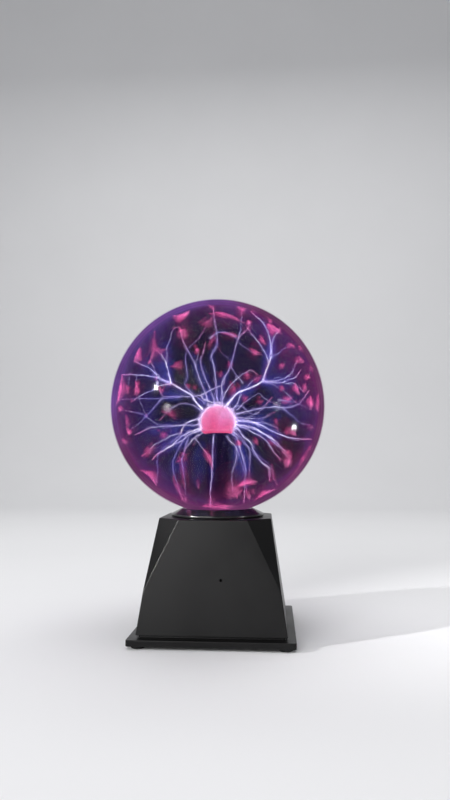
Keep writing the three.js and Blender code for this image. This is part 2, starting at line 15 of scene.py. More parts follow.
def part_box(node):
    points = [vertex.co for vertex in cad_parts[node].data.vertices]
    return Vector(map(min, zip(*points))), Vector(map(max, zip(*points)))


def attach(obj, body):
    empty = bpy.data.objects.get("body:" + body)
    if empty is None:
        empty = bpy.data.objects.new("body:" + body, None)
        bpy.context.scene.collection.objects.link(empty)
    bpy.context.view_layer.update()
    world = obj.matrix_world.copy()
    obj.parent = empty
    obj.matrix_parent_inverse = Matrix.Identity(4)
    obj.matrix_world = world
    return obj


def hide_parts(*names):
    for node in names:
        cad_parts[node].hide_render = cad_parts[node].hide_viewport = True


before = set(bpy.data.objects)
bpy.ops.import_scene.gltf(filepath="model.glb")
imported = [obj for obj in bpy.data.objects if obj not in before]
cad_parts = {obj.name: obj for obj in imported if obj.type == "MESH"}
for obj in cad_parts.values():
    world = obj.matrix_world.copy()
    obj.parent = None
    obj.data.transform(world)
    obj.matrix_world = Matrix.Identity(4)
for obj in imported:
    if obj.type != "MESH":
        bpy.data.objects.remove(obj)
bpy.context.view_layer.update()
MM = 0.001
RNG = np.random.default_rng(8)

# ---- Camera ------------------------------------------------------------------------------------------
EYE = np.array([53.3, -611.3, 153.6]) * MM
TURN = math.radians(4.34)  # to the left of straight ahead
TILT = math.radians(5.69)  # upwards
LENS_MM = 28.8

AHEAD = np.array([-math.sin(TURN) * math.cos(TILT), math.cos(TURN) * math.cos(TILT), math.sin(TILT)])
RIGHT = np.array([math.cos(TURN), math.sin(TURN), 0.0])
UP = np.cross(RIGHT, AHEAD)


def place_camera():
    """The camera at EYE, level, looking along AHEAD."""
    data = bpy.data.cameras.new("camera")
    data.lens = LENS_MM
    data.sensor_width = 36
    data.clip_end = 50
    camera = bpy.data.objects.new("camera", data)
    bpy.context.scene.collection.objects.link(camera)
    turn = Matrix((RIGHT, UP, -AHEAD)).transposed().to_4x4()
    camera.matrix_world = Matrix.Translation(EYE) @ turn
    bpy.context.scene.camera = camera


place_camera()


# ---- Sizes read from the frame -----------------------------------------------------------------------
def size_of(node):
    """A node's lowest and highest corners in millimetres."""
    low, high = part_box(node)
    return np.array(low) / MM, np.array(high) / MM


GLOBE_LOW, GLOBE_HIGH = size_of("globe_glass")
GLOBE_RADIUS = GLOBE_HIGH[0]
GLOBE_CENTRE = np.array([0.0, 0.0, GLOBE_HIGH[2] - GLOBE_RADIUS])
GLASS_WALL = 2.2
NECK_RADIUS = 26.0
GAS_GAP = 0.4
GAS_RADIUS = GLOBE_RADIUS - GLASS_WALL - GAS_GAP
BULB_LOW, BULB_HIGH = size_of("electrode_bulb")
BULB_RADIUS = 17.5
BULB_CENTRE = np.array([0.0, 0.0, BULB_HIGH[2] - BULB_RADIUS])
STEM_LOW, STEM_HIGH = size_of("glass_stem")
STEM_RADIUS = 10.5
COLLAR_HIGH = size_of("top_collar")[1]
COLLAR_RADIUS = COLLAR_HIGH[0]
COLLAR_BORE = 27.8
COLLAR_LIP = 32.3
SHELL_LOW, SHELL_HIGH = size_of("pedestal_shell")
SHELL_WALL = 2.5
SHELL_TOP_HALF = 50.5
SHELL_FILLET = 0.9
NECK_HOLE = 27.2
FACET_START_Z = 45.0
FACET_TOP_LEG = 20.5
TAPER = math.atan((SHELL_HIGH[0] - SHELL_TOP_HALF) / (SHELL_HIGH[2] - SHELL_LOW[2]))
PLATE_LOW, PLATE_HIGH = size_of("base_plate")
PLATE_TOP_Z = 8.0
STEP_HALF, STEP_Z = 61.8, 9.7
LIP_HALF = 60.8
TRAY_HALF, TRAY_Z = 58.6, 5.0
SLOT_PITCH, SLOT_HALF_X, SLOT_HALF_Y = 8, 1.4, 14
WELL_PLACE, WELL_RADIUS, WELL_Z = 54, 4.1, 5.8  # where the base screws go in
HOUSING_LOW, HOUSING_HIGH = size_of("switch_housing")
SOCKET_LOW, SOCKET_HIGH = size_of("inlet_socket")
REAR_PANEL_Z = 32.0
SWITCH_X = (HOUSING_LOW[0] + HOUSING_HIGH[0]) / 2
INLET_X = (SOCKET_LOW[0] + SOCKET_HIGH[0]) / 2


def shell_half(z):
    """The pedestal's half-width at a height."""
    return SHELL_HIGH[0] - (np.asarray(z, float) - SHELL_LOW[2]) * math.tan(TAPER)


def panel(x, z, rear):
    """A frame on the outside of a pedestal wall: x across, y up the slope, z along the outward normal."""
    side = 1 if rear else -1
    sin, cos = math.sin(TAPER), math.cos(TAPER)
    return np.array([[-side, 0, 0, x], [0, -side * sin, side * cos, side * shell_half(z)],
                     [0, cos, sin, z], [0, 0, 0, 1]])


PINHOLE = panel(7.7, 55.0, False)
SWITCH = panel(SWITCH_X, REAR_PANEL_Z, True)
INLET = panel(INLET_X, REAR_PANEL_Z, True)
PINHOLE_RADIUS = 1.3
INLET_HOLE_RADIUS = 5.8
SWITCH_HOLE_HALF = (6.6, 9.8)
CUT_FROM, CUT_TO = -8, 6  # from inside the wall to well outside it
MICROPHONE_DEPTH = 2.8  # from the wall's outside to the microphone's face
ROCKER_REST = math.radians(-12)  # the rocker's tilt in the frame


# ---- Mesh helpers ------------------------------------------------------------------------------------
# A shape is its points, one a row in millimetres, and its faces in blocks: arrays with one face a row.
def mesh_object(name, points, faces):
    """An object with its place in its mesh, from points in millimetres and blocks of faces."""
    mesh = bpy.data.meshes.new(name)
    rows = [face for block in faces for face in block.tolist()]
    mesh.from_pydata((np.asarray(points) * MM).tolist(), [], rows)
    thing = bpy.data.objects.new(name, mesh)
    bpy.context.scene.collection.objects.link(thing)
    return thing


def finish_mesh(mesh, material, smooth):
    """Gives a mesh its material, and smooth or flat shading."""
    mesh.validate()
    mesh.polygons.foreach_set("use_smooth", np.full(len(mesh.polygons), smooth))
    mesh.materials.append(material)


def make_piece(name, points, faces, material, body="lamp", smooth=True, instead_of=()):
    """A piece of the object, riding on a body, and the CAD nodes it stands for."""
    piece = mesh_object(name, points, faces)
    finish_mesh(piece.data, material, smooth)
    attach(piece, body)
    if instead_of:
        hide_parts(*instead_of)
    return piece


def grid_faces(rows, columns, close_rows=False, close_columns=True):
    """Quads between neighbouring rows and columns of a grid, either direction closed on itself or not."""
    i = np.arange(rows if close_rows else rows - 1)
    j = np.arange(columns if close_columns else columns - 1)
    i, j = np.meshgrid(i, j, indexing="ij")
    i2 = (i + 1) % rows
    j2 = (j + 1) % columns
    quads = np.stack([i * columns + j, i * columns + j2, i2 * columns + j2, i2 * columns + j], -1)
    return quads.reshape(-1, 4)


def with_poles(rings, poles):
    """Points and faces of rings of points, the first and last ring each closed by triangles to a pole."""
    count, columns = rings.shape[:2]
    k = np.arange(columns)
    after = np.roll(k, -1)
    last = (count - 1) * columns
    first_pole = np.full(columns, count * columns)
    near = np.stack([first_pole, after, k], -1)
    far = np.stack([first_pole + 1, last + k, last + after], -1)
    return np.concatenate([rings.reshape(-1, 3), poles]), [grid_faces(count, columns), near, far]


def lathe(profile, segments, closed=False):
    """Points and faces of a body of revolution. Each (r, z) of the profile is turned about +Z as
    (r cos a, r sin a, z). An open profile starts and ends on the axis, where one point is the pole."""
    profile = np.asarray(profile, float)
    a = np.linspace(0, 2 * np.pi, segments, endpoint=False)
    body = profile if closed else profile[1:-1]
    ring = np.stack([np.cos(a), np.sin(a)], -1)
    rings = np.concatenate([
        body[:, None, :1] * ring[None],
        np.broadcast_to(body[:, None, 1:], (len(body), segments, 1)),
    ], -1)
    if closed:
        return rings.reshape(-1, 3), [grid_faces(len(body), segments, close_rows=True)]
    return with_poles(rings, [[0, 0, profile[0, 1]], [0, 0, profile[-1, 1]]])


def arc(centre_r, centre_z, radius, start, end, count):
    """Points of a circular arc in the (r, z) plane, angles in degrees from +r towards +z."""
    a = np.radians(np.linspace(start, end, count))
    return np.stack([centre_r + radius * np.cos(a), centre_z + radius * np.sin(a)], -1)


def rounded(corners, radius, count=4):
    """A closed (r, z) outline with each corner rounded: each corner is a quadratic curve between points
    a fillet's length before and after it."""
    corners = np.asarray(corners, float)
    before = np.roll(corners, 1, 0) - corners
    after = np.roll(corners, -1, 0) - corners
    length_b = np.linalg.norm(before, axis=1, keepdims=True)
    length_a = np.linalg.norm(after, axis=1, keepdims=True)
    reach = np.minimum(radius, 0.45 * np.minimum(length_a, length_b))
    t = np.linspace(0, 1, count)[None, :, None]
    start = (corners + before / length_b * reach)[:, None]
    end = (corners + after / length_a * reach)[:, None]
    return ((1 - t) ** 2 * start + 2 * t * (1 - t) * corners[:, None] + t**2 * end).reshape(-1, 2)


def round_rect(half_x, half_y, fillet, z, count=4):
    """Outlines of rectangles with quarter-circle corners, one a row."""
    half_x, half_y, fillet, z = (np.asarray(v, float)[:, None]
                                 for v in np.broadcast_arrays(half_x, half_y, fillet, z))
    turn = (np.linspace(0, math.pi / 2, count) + np.arange(4)[:, None] * math.pi / 2).ravel()[None]
    sign_x = np.repeat([1, -1, -1, 1], count)[None]
    sign_y = np.repeat([1, 1, -1, -1], count)[None]
    x = sign_x * (half_x - fillet) + fillet * np.cos(turn)
    y = sign_y * (half_y - fillet) + fillet * np.sin(turn)
    return np.stack([x, y, np.broadcast_to(z, x.shape)], -1)


def skin(rows):
    """Points and faces of a body given as rows of outlines, capped flat at both ends."""
    rows = np.asarray(rows, float)
    count, columns = rows.shape[:2]
    k = np.arange(columns)
    caps = [k[None, ::-1], (count - 1) * columns + k[None]]
    return rows.reshape(-1, 3), [grid_faces(count, columns), *caps]


def slab(low, high):
    """Points and faces of a plain block between two corners."""
    z, y, x = np.meshgrid(*[(low[k], high[k]) for k in (2, 1, 0)], indexing="ij")
    faces = np.array([(0, 2, 3, 1), (4, 5, 7, 6), (0, 1, 5, 4), (1, 3, 7, 5), (3, 2, 6, 7), (2, 0, 4, 6)])
    return np.stack([x, y, z], -1).reshape(-1, 3), [faces]


def carried(points, matrix):
    """Points in millimetres through a 4 x 4 matrix in millimetres."""
    m = np.array(matrix)
    return np.asarray(points) @ m[:3, :3].T + m[:3, 3]


def cut(piece, tools):
    """Takes the tools' volumes out of a piece and removes them."""
    for tool in tools:
        modifier = piece.modifiers.new("cut", "BOOLEAN")
        modifier.operation = "DIFFERENCE"
        modifier.solver = "EXACT"
        modifier.object = tool
    bpy.context.view_layer.update()
    evaluated = piece.evaluated_get(bpy.context.evaluated_depsgraph_get())
    mesh = bpy.data.meshes.new_from_object(evaluated)
    piece.modifiers.clear()
    piece.data = mesh
    for tool in tools:
        bpy.data.objects.remove(tool)


def drill(radius, low, high, segments):
    """Points and faces of a round rod along z."""
    return lathe([(0, low), (radius, low), (radius, high), (0, high)], segments)


def cutters(shape, *places):
    """Loose objects that a cut uses up: one shape, its points carried to each place."""
    points, faces = shape
    return [mesh_object("cutter", carried(points, place), faces) for place in places]


def shift(x, y):
    """The 4 x 4 matrix that moves points across."""
    place = np.eye(4)
    place[:2, 3] = x, y
    return place


# ---- Drawing in front view ---------------------------------------------------------------------------
# The discharge is drawn in millimetres across and up from the globe's centre, as seen from EYE, and then
# given depth: towards the viewer is positive, and the glass is met on its near side or its far side.
NEAR, FAR = 1, -1
GLASS_REACH = GAS_RADIUS - 0.8  # how far from the globe's centre a streamer goes
GAS_MARGIN = 0.2  # between the gas's outside and a pad of light
VIEW_DISTANCE = float(np.linalg.norm(GLOBE_CENTRE - EYE / MM))
# Where the gas is clear and dark against the near glass: a drawn point and how far it reaches.
CLEAR_PATCHES = [((2, 50), 55), ((-34, 2), 36), ((0, -62), 46), ((62, -48), 34), ((34, -4), 30)]


def sight(drawn):
    """Unit of travel along each drawn point's line of sight: the vector from the eye to that point in the
    plane through the globe's centre."""
    drawn = np.asarray(drawn, float)
    return GLOBE_CENTRE + drawn[:, :1] * RIGHT + drawn[:, 1:2] * UP - EYE / MM


def glass_depth(drawn, side):
    """Depth at which a line of sight meets the inside of the glass, on the near or far side: the root of
    |eye + t v - centre| = reach, given as depth = distance (1 - t). A line that misses takes its nearest
    point."""
    v = sight([drawn])[0]
    offset = EYE / MM - GLOBE_CENTRE
    a, b, c = v @ v, 2 * offset @ v, offset @ offset - GLASS_REACH**2
    root = math.sqrt(max(0.0, b * b - 4 * a * c))
    t = (-b - side * root) / (2 * a)
    return VIEW_DISTANCE * (1 - t)


def inside_glass(points):
    """Points further than GLASS_REACH from the globe's centre are drawn in to it."""
    away = points - GLOBE_CENTRE
    far = np.linalg.norm(away, axis=1, keepdims=True)
    return GLOBE_CENTRE + away * np.minimum(1, GLASS_REACH / far)


def against_glass(points, radius):
    """Points moved in or out from the globe's centre until a ball of each radius there stands GAS_MARGIN
    inside the gas's outside."""
    away = points - GLOBE_CENTRE
    far = np.linalg.norm(away, axis=1, keepdims=True)
    return GLOBE_CENTRE + away / far * (GAS_RADIUS - GAS_MARGIN - radius[:, None])


def to_space(drawn, depth):
    """Drawn points at given depths as points in the lamp, held inside the glass."""
    return inside_glass(EYE / MM + sight(drawn) * (1 - np.asarray(depth)[:, None] / VIEW_DISTANCE))


def mirrored(drawn, distance):
    """Where a light stands for the outside of the globe to mirror it at a drawn point, and the point it is
    aimed at. The line of sight v meets the sphere at p with normal n, and goes on along v - 2 (v . n) n."""
    v = sight([drawn])[0]
    v /= np.linalg.norm(v)
    offset = EYE / MM - GLOBE_CENTRE
    along = offset @ v
    p = EYE / MM - (along + math.sqrt(along**2 - offset @ offset + GLOBE_RADIUS**2)) * v
    n = (p - GLOBE_CENTRE) / GLOBE_RADIUS
    return (p + distance * (v - 2 * (v @ n) * n)) * MM, p * MM


# ---- Shader helpers ----------------------------------------------------------------------------------
TINT = "tint"  # the point attribute that holds a piece's own colours


class Value:
    """A socket that can be used in sums. Each operator adds the Math node that it stands for."""

    def __init__(self, paint, socket):
        self.paint = paint
        self.socket = socket

    def _math(self, operation, a, b):
        return self.paint.node("ShaderNodeMath", {"operation": operation}, {0: a, 1: b})

    def __add__(self, other):
        return self._math("ADD", self, other)

    def __sub__(self, other):
        return self._math("SUBTRACT", self, other)

    def __rsub__(self, other):
        return self._math("SUBTRACT", other, self)

    def __mul__(self, other):
        return self._math("MULTIPLY", self, other)

    def __pow__(self, other):
        return self._math("POWER", self, other)

    __radd__ = __add__
    __rmul__ = __mul__

    def step(self, low, high, to_low=0.0, to_high=1.0):
        """A smooth step from to_low to to_high as the value goes from low to high."""
        return self.paint.node(
            "ShaderNodeMapRange", {"interpolation_type": "SMOOTHSTEP"},
            {"Value": self, "From Min": low, "From Max": high, "To Min": to_low, "To Max": to_high})


def colour_input(colour):
    """A colour as a socket takes it: a link as it is, three numbers with an alpha of 1."""
    return colour if isinstance(colour, Value) else (*colour, 1)


class Paint:
    """A material under construction."""

    def __init__(self, name):
        self.material = bpy.data.materials.new(name)
        self.material.use_nodes = True
        self.tree = self.material.node_tree
        self.tree.nodes.clear()

    def node(self, kind, settings=None, inputs=None, out=0):
        """Adds a node. Its settings are set first, then its sockets are given numbers or links."""
        node = self.tree.nodes.new(kind)
        for key, value in (settings or {}).items():
            if key == "stops":
                ramp = node.color_ramp
                while len(ramp.elements) < len(value):
                    ramp.elements.new(0.5)
                for element, (position, colour) in zip(ramp.elements, value):
                    element.position = position
                    element.color = (*colour, 1)
            else:
                setattr(node, key, value)
        for key, value in (inputs or {}).items():
            if isinstance(value, Value):
                self.tree.links.new(value.socket, node.inputs[key])
            elif value is not None:
                node.inputs[key].default_value = value
        return Value(self, node.outputs[out]) if node.outputs else None

    def place(self, centre=(0, 0, 0), squeeze=(1, 1, 1)):
        """Object coordinates in metres from a centre given in millimetres, divided by squeeze, so that marks
        are packed closer along an axis whose number is below 1."""
        return self.node("ShaderNodeMapping", {"vector_type": "TEXTURE"}, {
            "Vector": self.node("ShaderNodeTexCoord", out="Object"),
            "Location": tuple(np.asarray(centre) * MM), "Scale": squeeze})

    def along(self, direction, centre):
        """The dot product of a direction with a point's offset in metres from a centre in millimetres."""
        return self.node("ShaderNodeVectorMath", {"operation": "DOT_PRODUCT"}, {
            0: self.place(centre), 1: direction}, out="Value")

    def noise(self, scale, detail=3.0, roughness=0.5, where=None, distortion=0.0):
        """Soft noise: how many features to a metre, how much finer detail on them, and how strong it is."""
        return self.node("ShaderNodeTexNoise", None, {
            "Vector": where or self.place(), "Scale": scale, "Detail": detail,
            "Roughness": roughness, "Distortion": distortion})

    def tint(self):
        """The colour that a mesh carries at each of its points."""
        return self.node("ShaderNodeAttribute", {"attribute_name": TINT}, out="Color")

    def blend(self, factor, first, second):
        """The first colour where the factor is 0, the second where it is 1."""
        return self.node("ShaderNodeMix", {"data_type": "RGBA"}, {
            0: factor, 6: colour_input(first), 7: colour_input(second)}, out=2)

    def ramp(self, value, stops):
        """A colour read off a scale of (position, colour) stops."""
        return self.node("ShaderNodeValToRGB", {"stops": stops}, {"Fac": value})

    def bump(self, height, strength, distance_mm):
        """A normal tilted by the slope of a height."""
        return self.node("ShaderNodeBump", None, {
            "Height": height, "Strength": strength, "Distance": distance_mm * MM})

    def facing(self):
        """0 where a surface faces the viewer, 1 where it turns away."""
        return self.node("ShaderNodeLayerWeight", None, {"Blend": 0.5}, out="Facing")

    def surface(self, **sockets):
        """The Principled shader with named sockets, such as base_color."""
        inputs = {}
        for key, value in sockets.items():
            name = key.replace("_", " ").title().replace("Ior", "IOR")
            inputs[name] = colour_input(value) if key in ("base_color", "emission_color") else value
        shader = self.node("ShaderNodeBsdfPrincipled", None, inputs)
        self.node("ShaderNodeOutputMaterial", None, {"Surface": shader})
        return self.material

    def light(self, **sockets):
        """A surface that only shines: black, without gloss, and with the named sockets."""
        return self.surface(base_color=(0.0, 0.0, 0.0), roughness=1.0, specular_ior_level=0.0, **sockets)


# ---- Finishes ----------------------------------------------------------------------------------------
WIRE_PITCH = 0.6
WAVES_PER_UNIT = 0.314  # a Wave node's scale for bands one unit apart
RIM_LEAN = (-7.0, -2.0, 7.0)  # towards the violet side of the globe
GAS_DENSITY = 0.86


def moulded_plastic(name, colour, roughness, grain_mm=0.35, grain=0.12, gloss=0.5):
    """Moulded plastic: a fine even grain in the surface, and slow drifts of tone and gloss."""
    paint = Paint(name)
    drift = paint.noise(18, 3)
    speck = paint.noise(1 / (grain_mm * MM), 2, 0.6)
    dark = tuple(c * 0.8 for c in colour)
    light = tuple(min(1, c * 1.25) for c in colour)
    tone = paint.blend(drift.step(0.3, 0.7), dark, light)
    return paint.surface(
        base_color=tone,
        roughness=drift.step(0.25, 0.75, roughness - 0.05, roughness + 0.06) + (speck - 0.5) * 0.08,
        specular_ior_level=gloss,
        normal=paint.bump(speck, grain, 0.05))


def brushed_metal(name, colour, roughness, squeeze=(0.2, 1, 1), scratch=900):
    """Metal with fine marks, packed closer along the axes that are squeezed, and patches of duller tone."""
    paint = Paint(name)
    lines = paint.noise(scratch, 2, 0.6, paint.place(squeeze=squeeze))
    patch = paint.noise(60, 3)
    dull = tuple(c * 0.72 for c in colour)
    return paint.surface(
        base_color=paint.blend(patch.step(0.35, 0.7), dull, colour),
        metallic=1.0,
        roughness=lines.step(0.2, 0.8, roughness - 0.08, roughness + 0.1),
        normal=paint.bump(lines, 0.15, 0.05))


def speckled(name, dark, light, roughness, scale, gloss=0.4):
    """A cast or sintered body: two tones in fine speckles, with a matching rough surface."""
    paint = Paint(name)
    speck = paint.noise(scale, 4, 0.65)
    return paint.surface(
        base_color=paint.blend(speck.step(0.35, 0.65), dark, light),
        roughness=speck.step(0.2, 0.8, roughness, roughness + 0.12),
        specular_ior_level=gloss,
        normal=paint.bump(speck, 0.25, 0.1))


def wound_copper(name):
    """Enamelled wire laid turn on turn: bands WIRE_PITCH apart up the coil."""
    paint = Paint(name)
    bands = paint.node("ShaderNodeTexWave", {"wave_type": "BANDS", "bands_direction": "Z"}, {
        "Vector": paint.place(), "Scale": WAVES_PER_UNIT / (WIRE_PITCH * MM),
        "Distortion": 0.4, "Detail": 1.0})
    height = paint.node("ShaderNodeRGBToBW", None, {"Color": bands})
    return paint.surface(
        base_color=paint.blend(height, (0.10, 0.03, 0.012), (0.62, 0.24, 0.09)),
        metallic=0.85,
        roughness=height.step(0, 1, 0.55, 0.28),
        normal=paint.bump(height, 0.8, 0.2))


def board_laminate(name):
    """Brown laminate with a pattern of square islands, paler and smoother than what is round them."""
    paint = Paint(name)
    cells = paint.node("ShaderNodeTexVoronoi", {"distance": "CHEBYCHEV"}, {
        "Vector": paint.place(), "Scale": 110.0, "Randomness": 0.75})
    fibre = paint.noise(700, 2, 0.6, paint.place(squeeze=(0.3, 1, 1)))
    island = cells.step(0.28, 0.34)
    base = paint.blend(fibre.step(0.3, 0.7), (0.19, 0.09, 0.035), (0.30, 0.15, 0.06))
    return paint.surface(
        base_color=paint.blend(island, (0.34, 0.20, 0.08), base),
        roughness=island.step(0, 1, 0.35, 0.55),
        normal=paint.bump(island, 0.3, 0.05))


def rim_colour(paint, drift, magenta, violet):
    """The rim glow's colour round the globe: violet at the upper left, magenta low down and at the right."""
    lean = paint.along(RIM_LEAN, GLOBE_CENTRE) + (drift - 0.5)
    return paint.blend(lean.step(0.4, 1.0), magenta, violet)


def globe_glass_finish():
    """Thin clear glass: a faint mirror, all but transparent face on. Where it turns away it is thick to look
    through, stops mirroring, and carries the gas's own light."""
    paint = Paint("clear_glass")
    drift = paint.noise(17, 2)
    facing = paint.facing()
    glow = rim_colour(paint, drift, (0.165, 0.045, 0.135), (0.17, 0.070, 0.31))
    band = paint.noise(30, 3, 0.6)
    glow = paint.blend(band.step(0.35, 0.7, 0.45, 0.0), glow, (0.03, 0.01, 0.05))
    return paint.surface(
        base_color=paint.blend(facing.step(0.40, 0.62), (0.035, 0.035, 0.038), (0.004, 0.003, 0.006)),
        metallic=1.0,
        specular_tint=(0.0, 0.0, 0.0, 1.0),
        roughness=0.09 + drift * 0.02,
        emission_color=paint.blend(facing.step(0.64, 0.76), (0.0, 0.0, 0.0), glow),
        emission_strength=1.0,
        alpha=facing.step(0.69, 0.81, 0.04, 0.92))


def gas_finish():
    """The glow of thin gas against the glass: dark clear patches among navy and purple mist, gathering to a
    bright rim."""
    paint = Paint("gas_glow")
    patch = paint.noise(15, 3, 0.55, paint.place(GLOBE_CENTRE))
    drift = paint.noise(17, 2)
    thick = patch
    for drawn, reach in CLEAR_PATCHES:
        spot = to_space([drawn], [glass_depth(drawn, NEAR)])[0] * MM
        far = paint.node("ShaderNodeVectorMath", {"operation": "DISTANCE"}, {
            0: paint.place(), 1: tuple(spot)}, out="Value")
        thick = thick * far.step(reach * 0.35 * MM, reach * MM, 0.55, 1.0)
    mist = paint.ramp(thick, [(0.18, (0.005, 0.003, 0.010)), (0.42, (0.010, 0.006, 0.036)),
                              (0.56, (0.022, 0.014, 0.100)), (0.70, (0.052, 0.009, 0.062))])
    rim = paint.facing() ** 3.3
    glow = rim_colour(paint, drift, (0.34, 0.04, 0.22), (0.23, 0.10, 0.48))
    return paint.surface(
        base_color=(0.0, 0.0, 0.0),
        roughness=0.8,
        specular_ior_level=0.0,
        emission_color=paint.blend(rim * drift.step(0.25, 0.75, 0.6, 1.2), mist, glow),
        emission_strength=1.0,
        alpha=patch.step(0.0, 1.0, GAS_DENSITY - 0.01, GAS_DENSITY + 0.01))


def light_finish(name, strength, softness, most, cloud=40.0):
    """Soft light held in a shape and coloured by the mesh. It is densest where the shape is seen face on,
    fades to nothing at its outline, and is broken into clouds."""
    paint = Paint(name)
    clouds = paint.noise(cloud, 3, 0.6, distortion=1.2)
    return paint.light(
        emission_color=paint.tint(),
        emission_strength=strength,
        alpha=(1 - paint.facing()) ** softness * clouds.step(0.30, 0.64, most * 0.15, most))


def streamer_finish():
    """A streamer's bright thread, coloured by the mesh, with duller stretches."""
    paint = Paint("streamer_light")
    flicker = paint.noise(150, 2)
    return paint.light(
        emission_color=paint.blend(flicker.step(0.35, 0.75, 0.0, 0.45), paint.tint(), (0.12, 0.05, 0.3)),
        emission_strength=9.0)


def electrode_finish():
    """Frosted glass lit from inside: hot pink with paler clouds towards the upper right, and a lavender skin
    where it turns away, except on the shoulder below."""
    paint = Paint("electrode_glow")
    cloud = paint.noise(70, 3, 0.5, paint.place(BULB_CENTRE))
    rise = paint.along((22.0, 0.0, 40.0), BULB_CENTRE)
    pink = paint.ramp(rise * 0.35 + cloud, [(0.30, (0.78, 0.085, 0.22)), (0.55, (0.80, 0.14, 0.32)),
                                            (0.90, (0.78, 0.34, 0.62))])
    height_mm = paint.along((0.0, 0.0, 1 / MM), BULB_CENTRE)
    skin = paint.facing().step(0.42, 0.78) * height_mm.step(-9.0, -4.0)
    return paint.surface(
        base_color=(0.02, 0.01, 0.015),
        roughness=0.5,
        specular_ior_level=0.2,
        emission_color=paint.blend(skin, pink, (0.86, 0.66, 1.0)),
        emission_strength=7.2)


def skin_light_finish():
    """Light that hugs a ball inside it: strongest half way from face on to the outline, nothing at either."""
    paint = Paint("skin_light")
    facing = paint.facing()
    cloud = paint.noise(90, 2)
    return paint.light(
        emission_color=(0.80, 0.56, 1.0),
        emission_strength=30.0,
        alpha=(facing * (1 - facing) * 4) ** 2.5 * cloud.step(0.3, 0.7, 0.035, 0.09))


def stem_finish():
    """Dark glass tube, near black with a navy cast that drifts along it."""
    paint = Paint("stem_glass")
    drift = paint.noise(30, 2)
    return paint.surface(
        base_color=paint.blend(drift, (0.002, 0.002, 0.006), (0.008, 0.006, 0.02)),
        roughness=0.12 + drift * 0.1,
        specular_ior_level=0.4)


def microphone_finish():
    """A nickel can with a round of black felt on the face behind the pinhole."""
    paint = Paint("microphone_can")
    face = carried([[0, 0, -MICROPHONE_DEPTH]], PINHOLE)[0]
    out_mm = paint.along(tuple(PINHOLE[:3, 2] / MM), face)
    felt = out_mm.step(-0.35, -0.25)
    return paint.surface(
        base_color=paint.blend(felt, (0.75, 0.72, 0.66), (0.004, 0.004, 0.004)),
        metallic=1 - felt,
        roughness=felt.step(0, 1, 0.25, 0.95))


SATIN_BLACK = moulded_plastic("satin_black", (0.0045, 0.0043, 0.0045), 0.33, grain=0.06, gloss=0.24)
GLOSS_BLACK = moulded_plastic("gloss_black", (0.010, 0.010, 0.011), 0.16, grain=0.02)
RUBBER = moulded_plastic("black_rubber", (0.014, 0.014, 0.014), 0.8, 0.5, 0.3, 0.3)
FOAM = speckled("grey_foam", (0.30, 0.30, 0.29), (0.50, 0.50, 0.48), 0.85, 900, 0.2)
SCREW_STEEL = brushed_metal("screw_steel", (0.60, 0.60, 0.62), 0.32)
ALUMINIUM = brushed_metal("mill_aluminium", (0.72, 0.73, 0.74), 0.38, (1, 1, 0.1))
NICKEL = brushed_metal("bright_nickel", (0.75, 0.72, 0.66), 0.22)
STEEL_WOOL = brushed_metal("steel_wool", (0.45, 0.45, 0.47), 0.6, (0.3, 0.3, 1), 1800)
COPPER = wound_copper("enamelled_copper")
BOARD = board_laminate("board_laminate")
FERRITE = speckled("ferrite", (0.025, 0.026, 0.030), (0.060, 0.060, 0.066), 0.6, 1500)
RESIN = moulded_plastic("potting_resin", (0.012, 0.012, 0.012), 0.3, 0.8, 0.08)
BLUE_SLEEVE = moulded_plastic("blue_sleeve", (0.015, 0.045, 0.20), 0.3, 1.5, 0.05)
YELLOW_FILM = moulded_plastic("yellow_film", (0.60, 0.34, 0.03), 0.4, 0.6, 0.1)
BEIGE_CERAMIC = speckled("beige_ceramic", (0.42, 0.29, 0.15), (0.60, 0.43, 0.25), 0.6, 1200)
WHITE_PLASTIC = moulded_plastic("white_plastic", (0.68, 0.68, 0.64), 0.4)
WIRE_FINISHES = {
    colour: moulded_plastic(f"{colour}_insulation", rgb, 0.35, 0.8, 0.05)
    for colour, rgb in (("red", (0.40, 0.012, 0.012)), ("black", (0.015, 0.015, 0.015)),
                        ("blue", (0.02, 0.06, 0.32)), ("white", (0.66, 0.65, 0.60)))
}
GLASS = globe_glass_finish()
GAS = gas_finish()
STREAMER = streamer_finish()
SHEATH = light_finish("streamer_sheath", 30.0, 3.0, 0.12)
HALO = light_finish("streamer_halo", 20.0, 3.0, 0.06)
MIST = light_finish("bundle_mist", 20.0, 3.0, 0.09, 60.0)
PAD_LIGHT = light_finish("pad_light", 15.0, 3.6, 0.28, 230.0)
ELECTRODE = electrode_finish()
SKIN_LIGHT = skin_light_finish()
STEM = stem_finish()

CAD_FINISHES = {
    "electrode_fill": STEEL_WOOL, "exhaust_pip": STEM, "neck_gasket": FOAM, "neck_clamp_ring": SATIN_BLACK,
    "driver_board": BOARD, "flyback_core": FERRITE, "flyback_coil": RESIN, "drive_winding": COPPER,
    "high_voltage_lead": WIRE_FINISHES["red"], "heatsink": ALUMINIUM, "switching_transistor": RESIN,
    "smoothing_capacitor": BLUE_SLEEVE, "tuning_capacitor": YELLOW_FILM, "timer_chip": RESIN,
    "power_resistor_1": BEIGE_CERAMIC, "power_resistor_2": BEIGE_CERAMIC, "wire_header": WHITE_PLASTIC,
    "microphone": microphone_finish(), "microphone_wire": WIRE_FINISHES["black"],
    "inlet_pin": NICKEL, "inlet_nut": NICKEL, "inlet_tab_1": NICKEL, "inlet_tab_2": NICKEL,
    "inlet_wire_black": WIRE_FINISHES["black"], "inlet_wire_red": WIRE_FINISHES["red"],
    "switch_wire_blue": WIRE_FINISHES["blue"], "switch_wire_white": WIRE_FINISHES["white"],
}
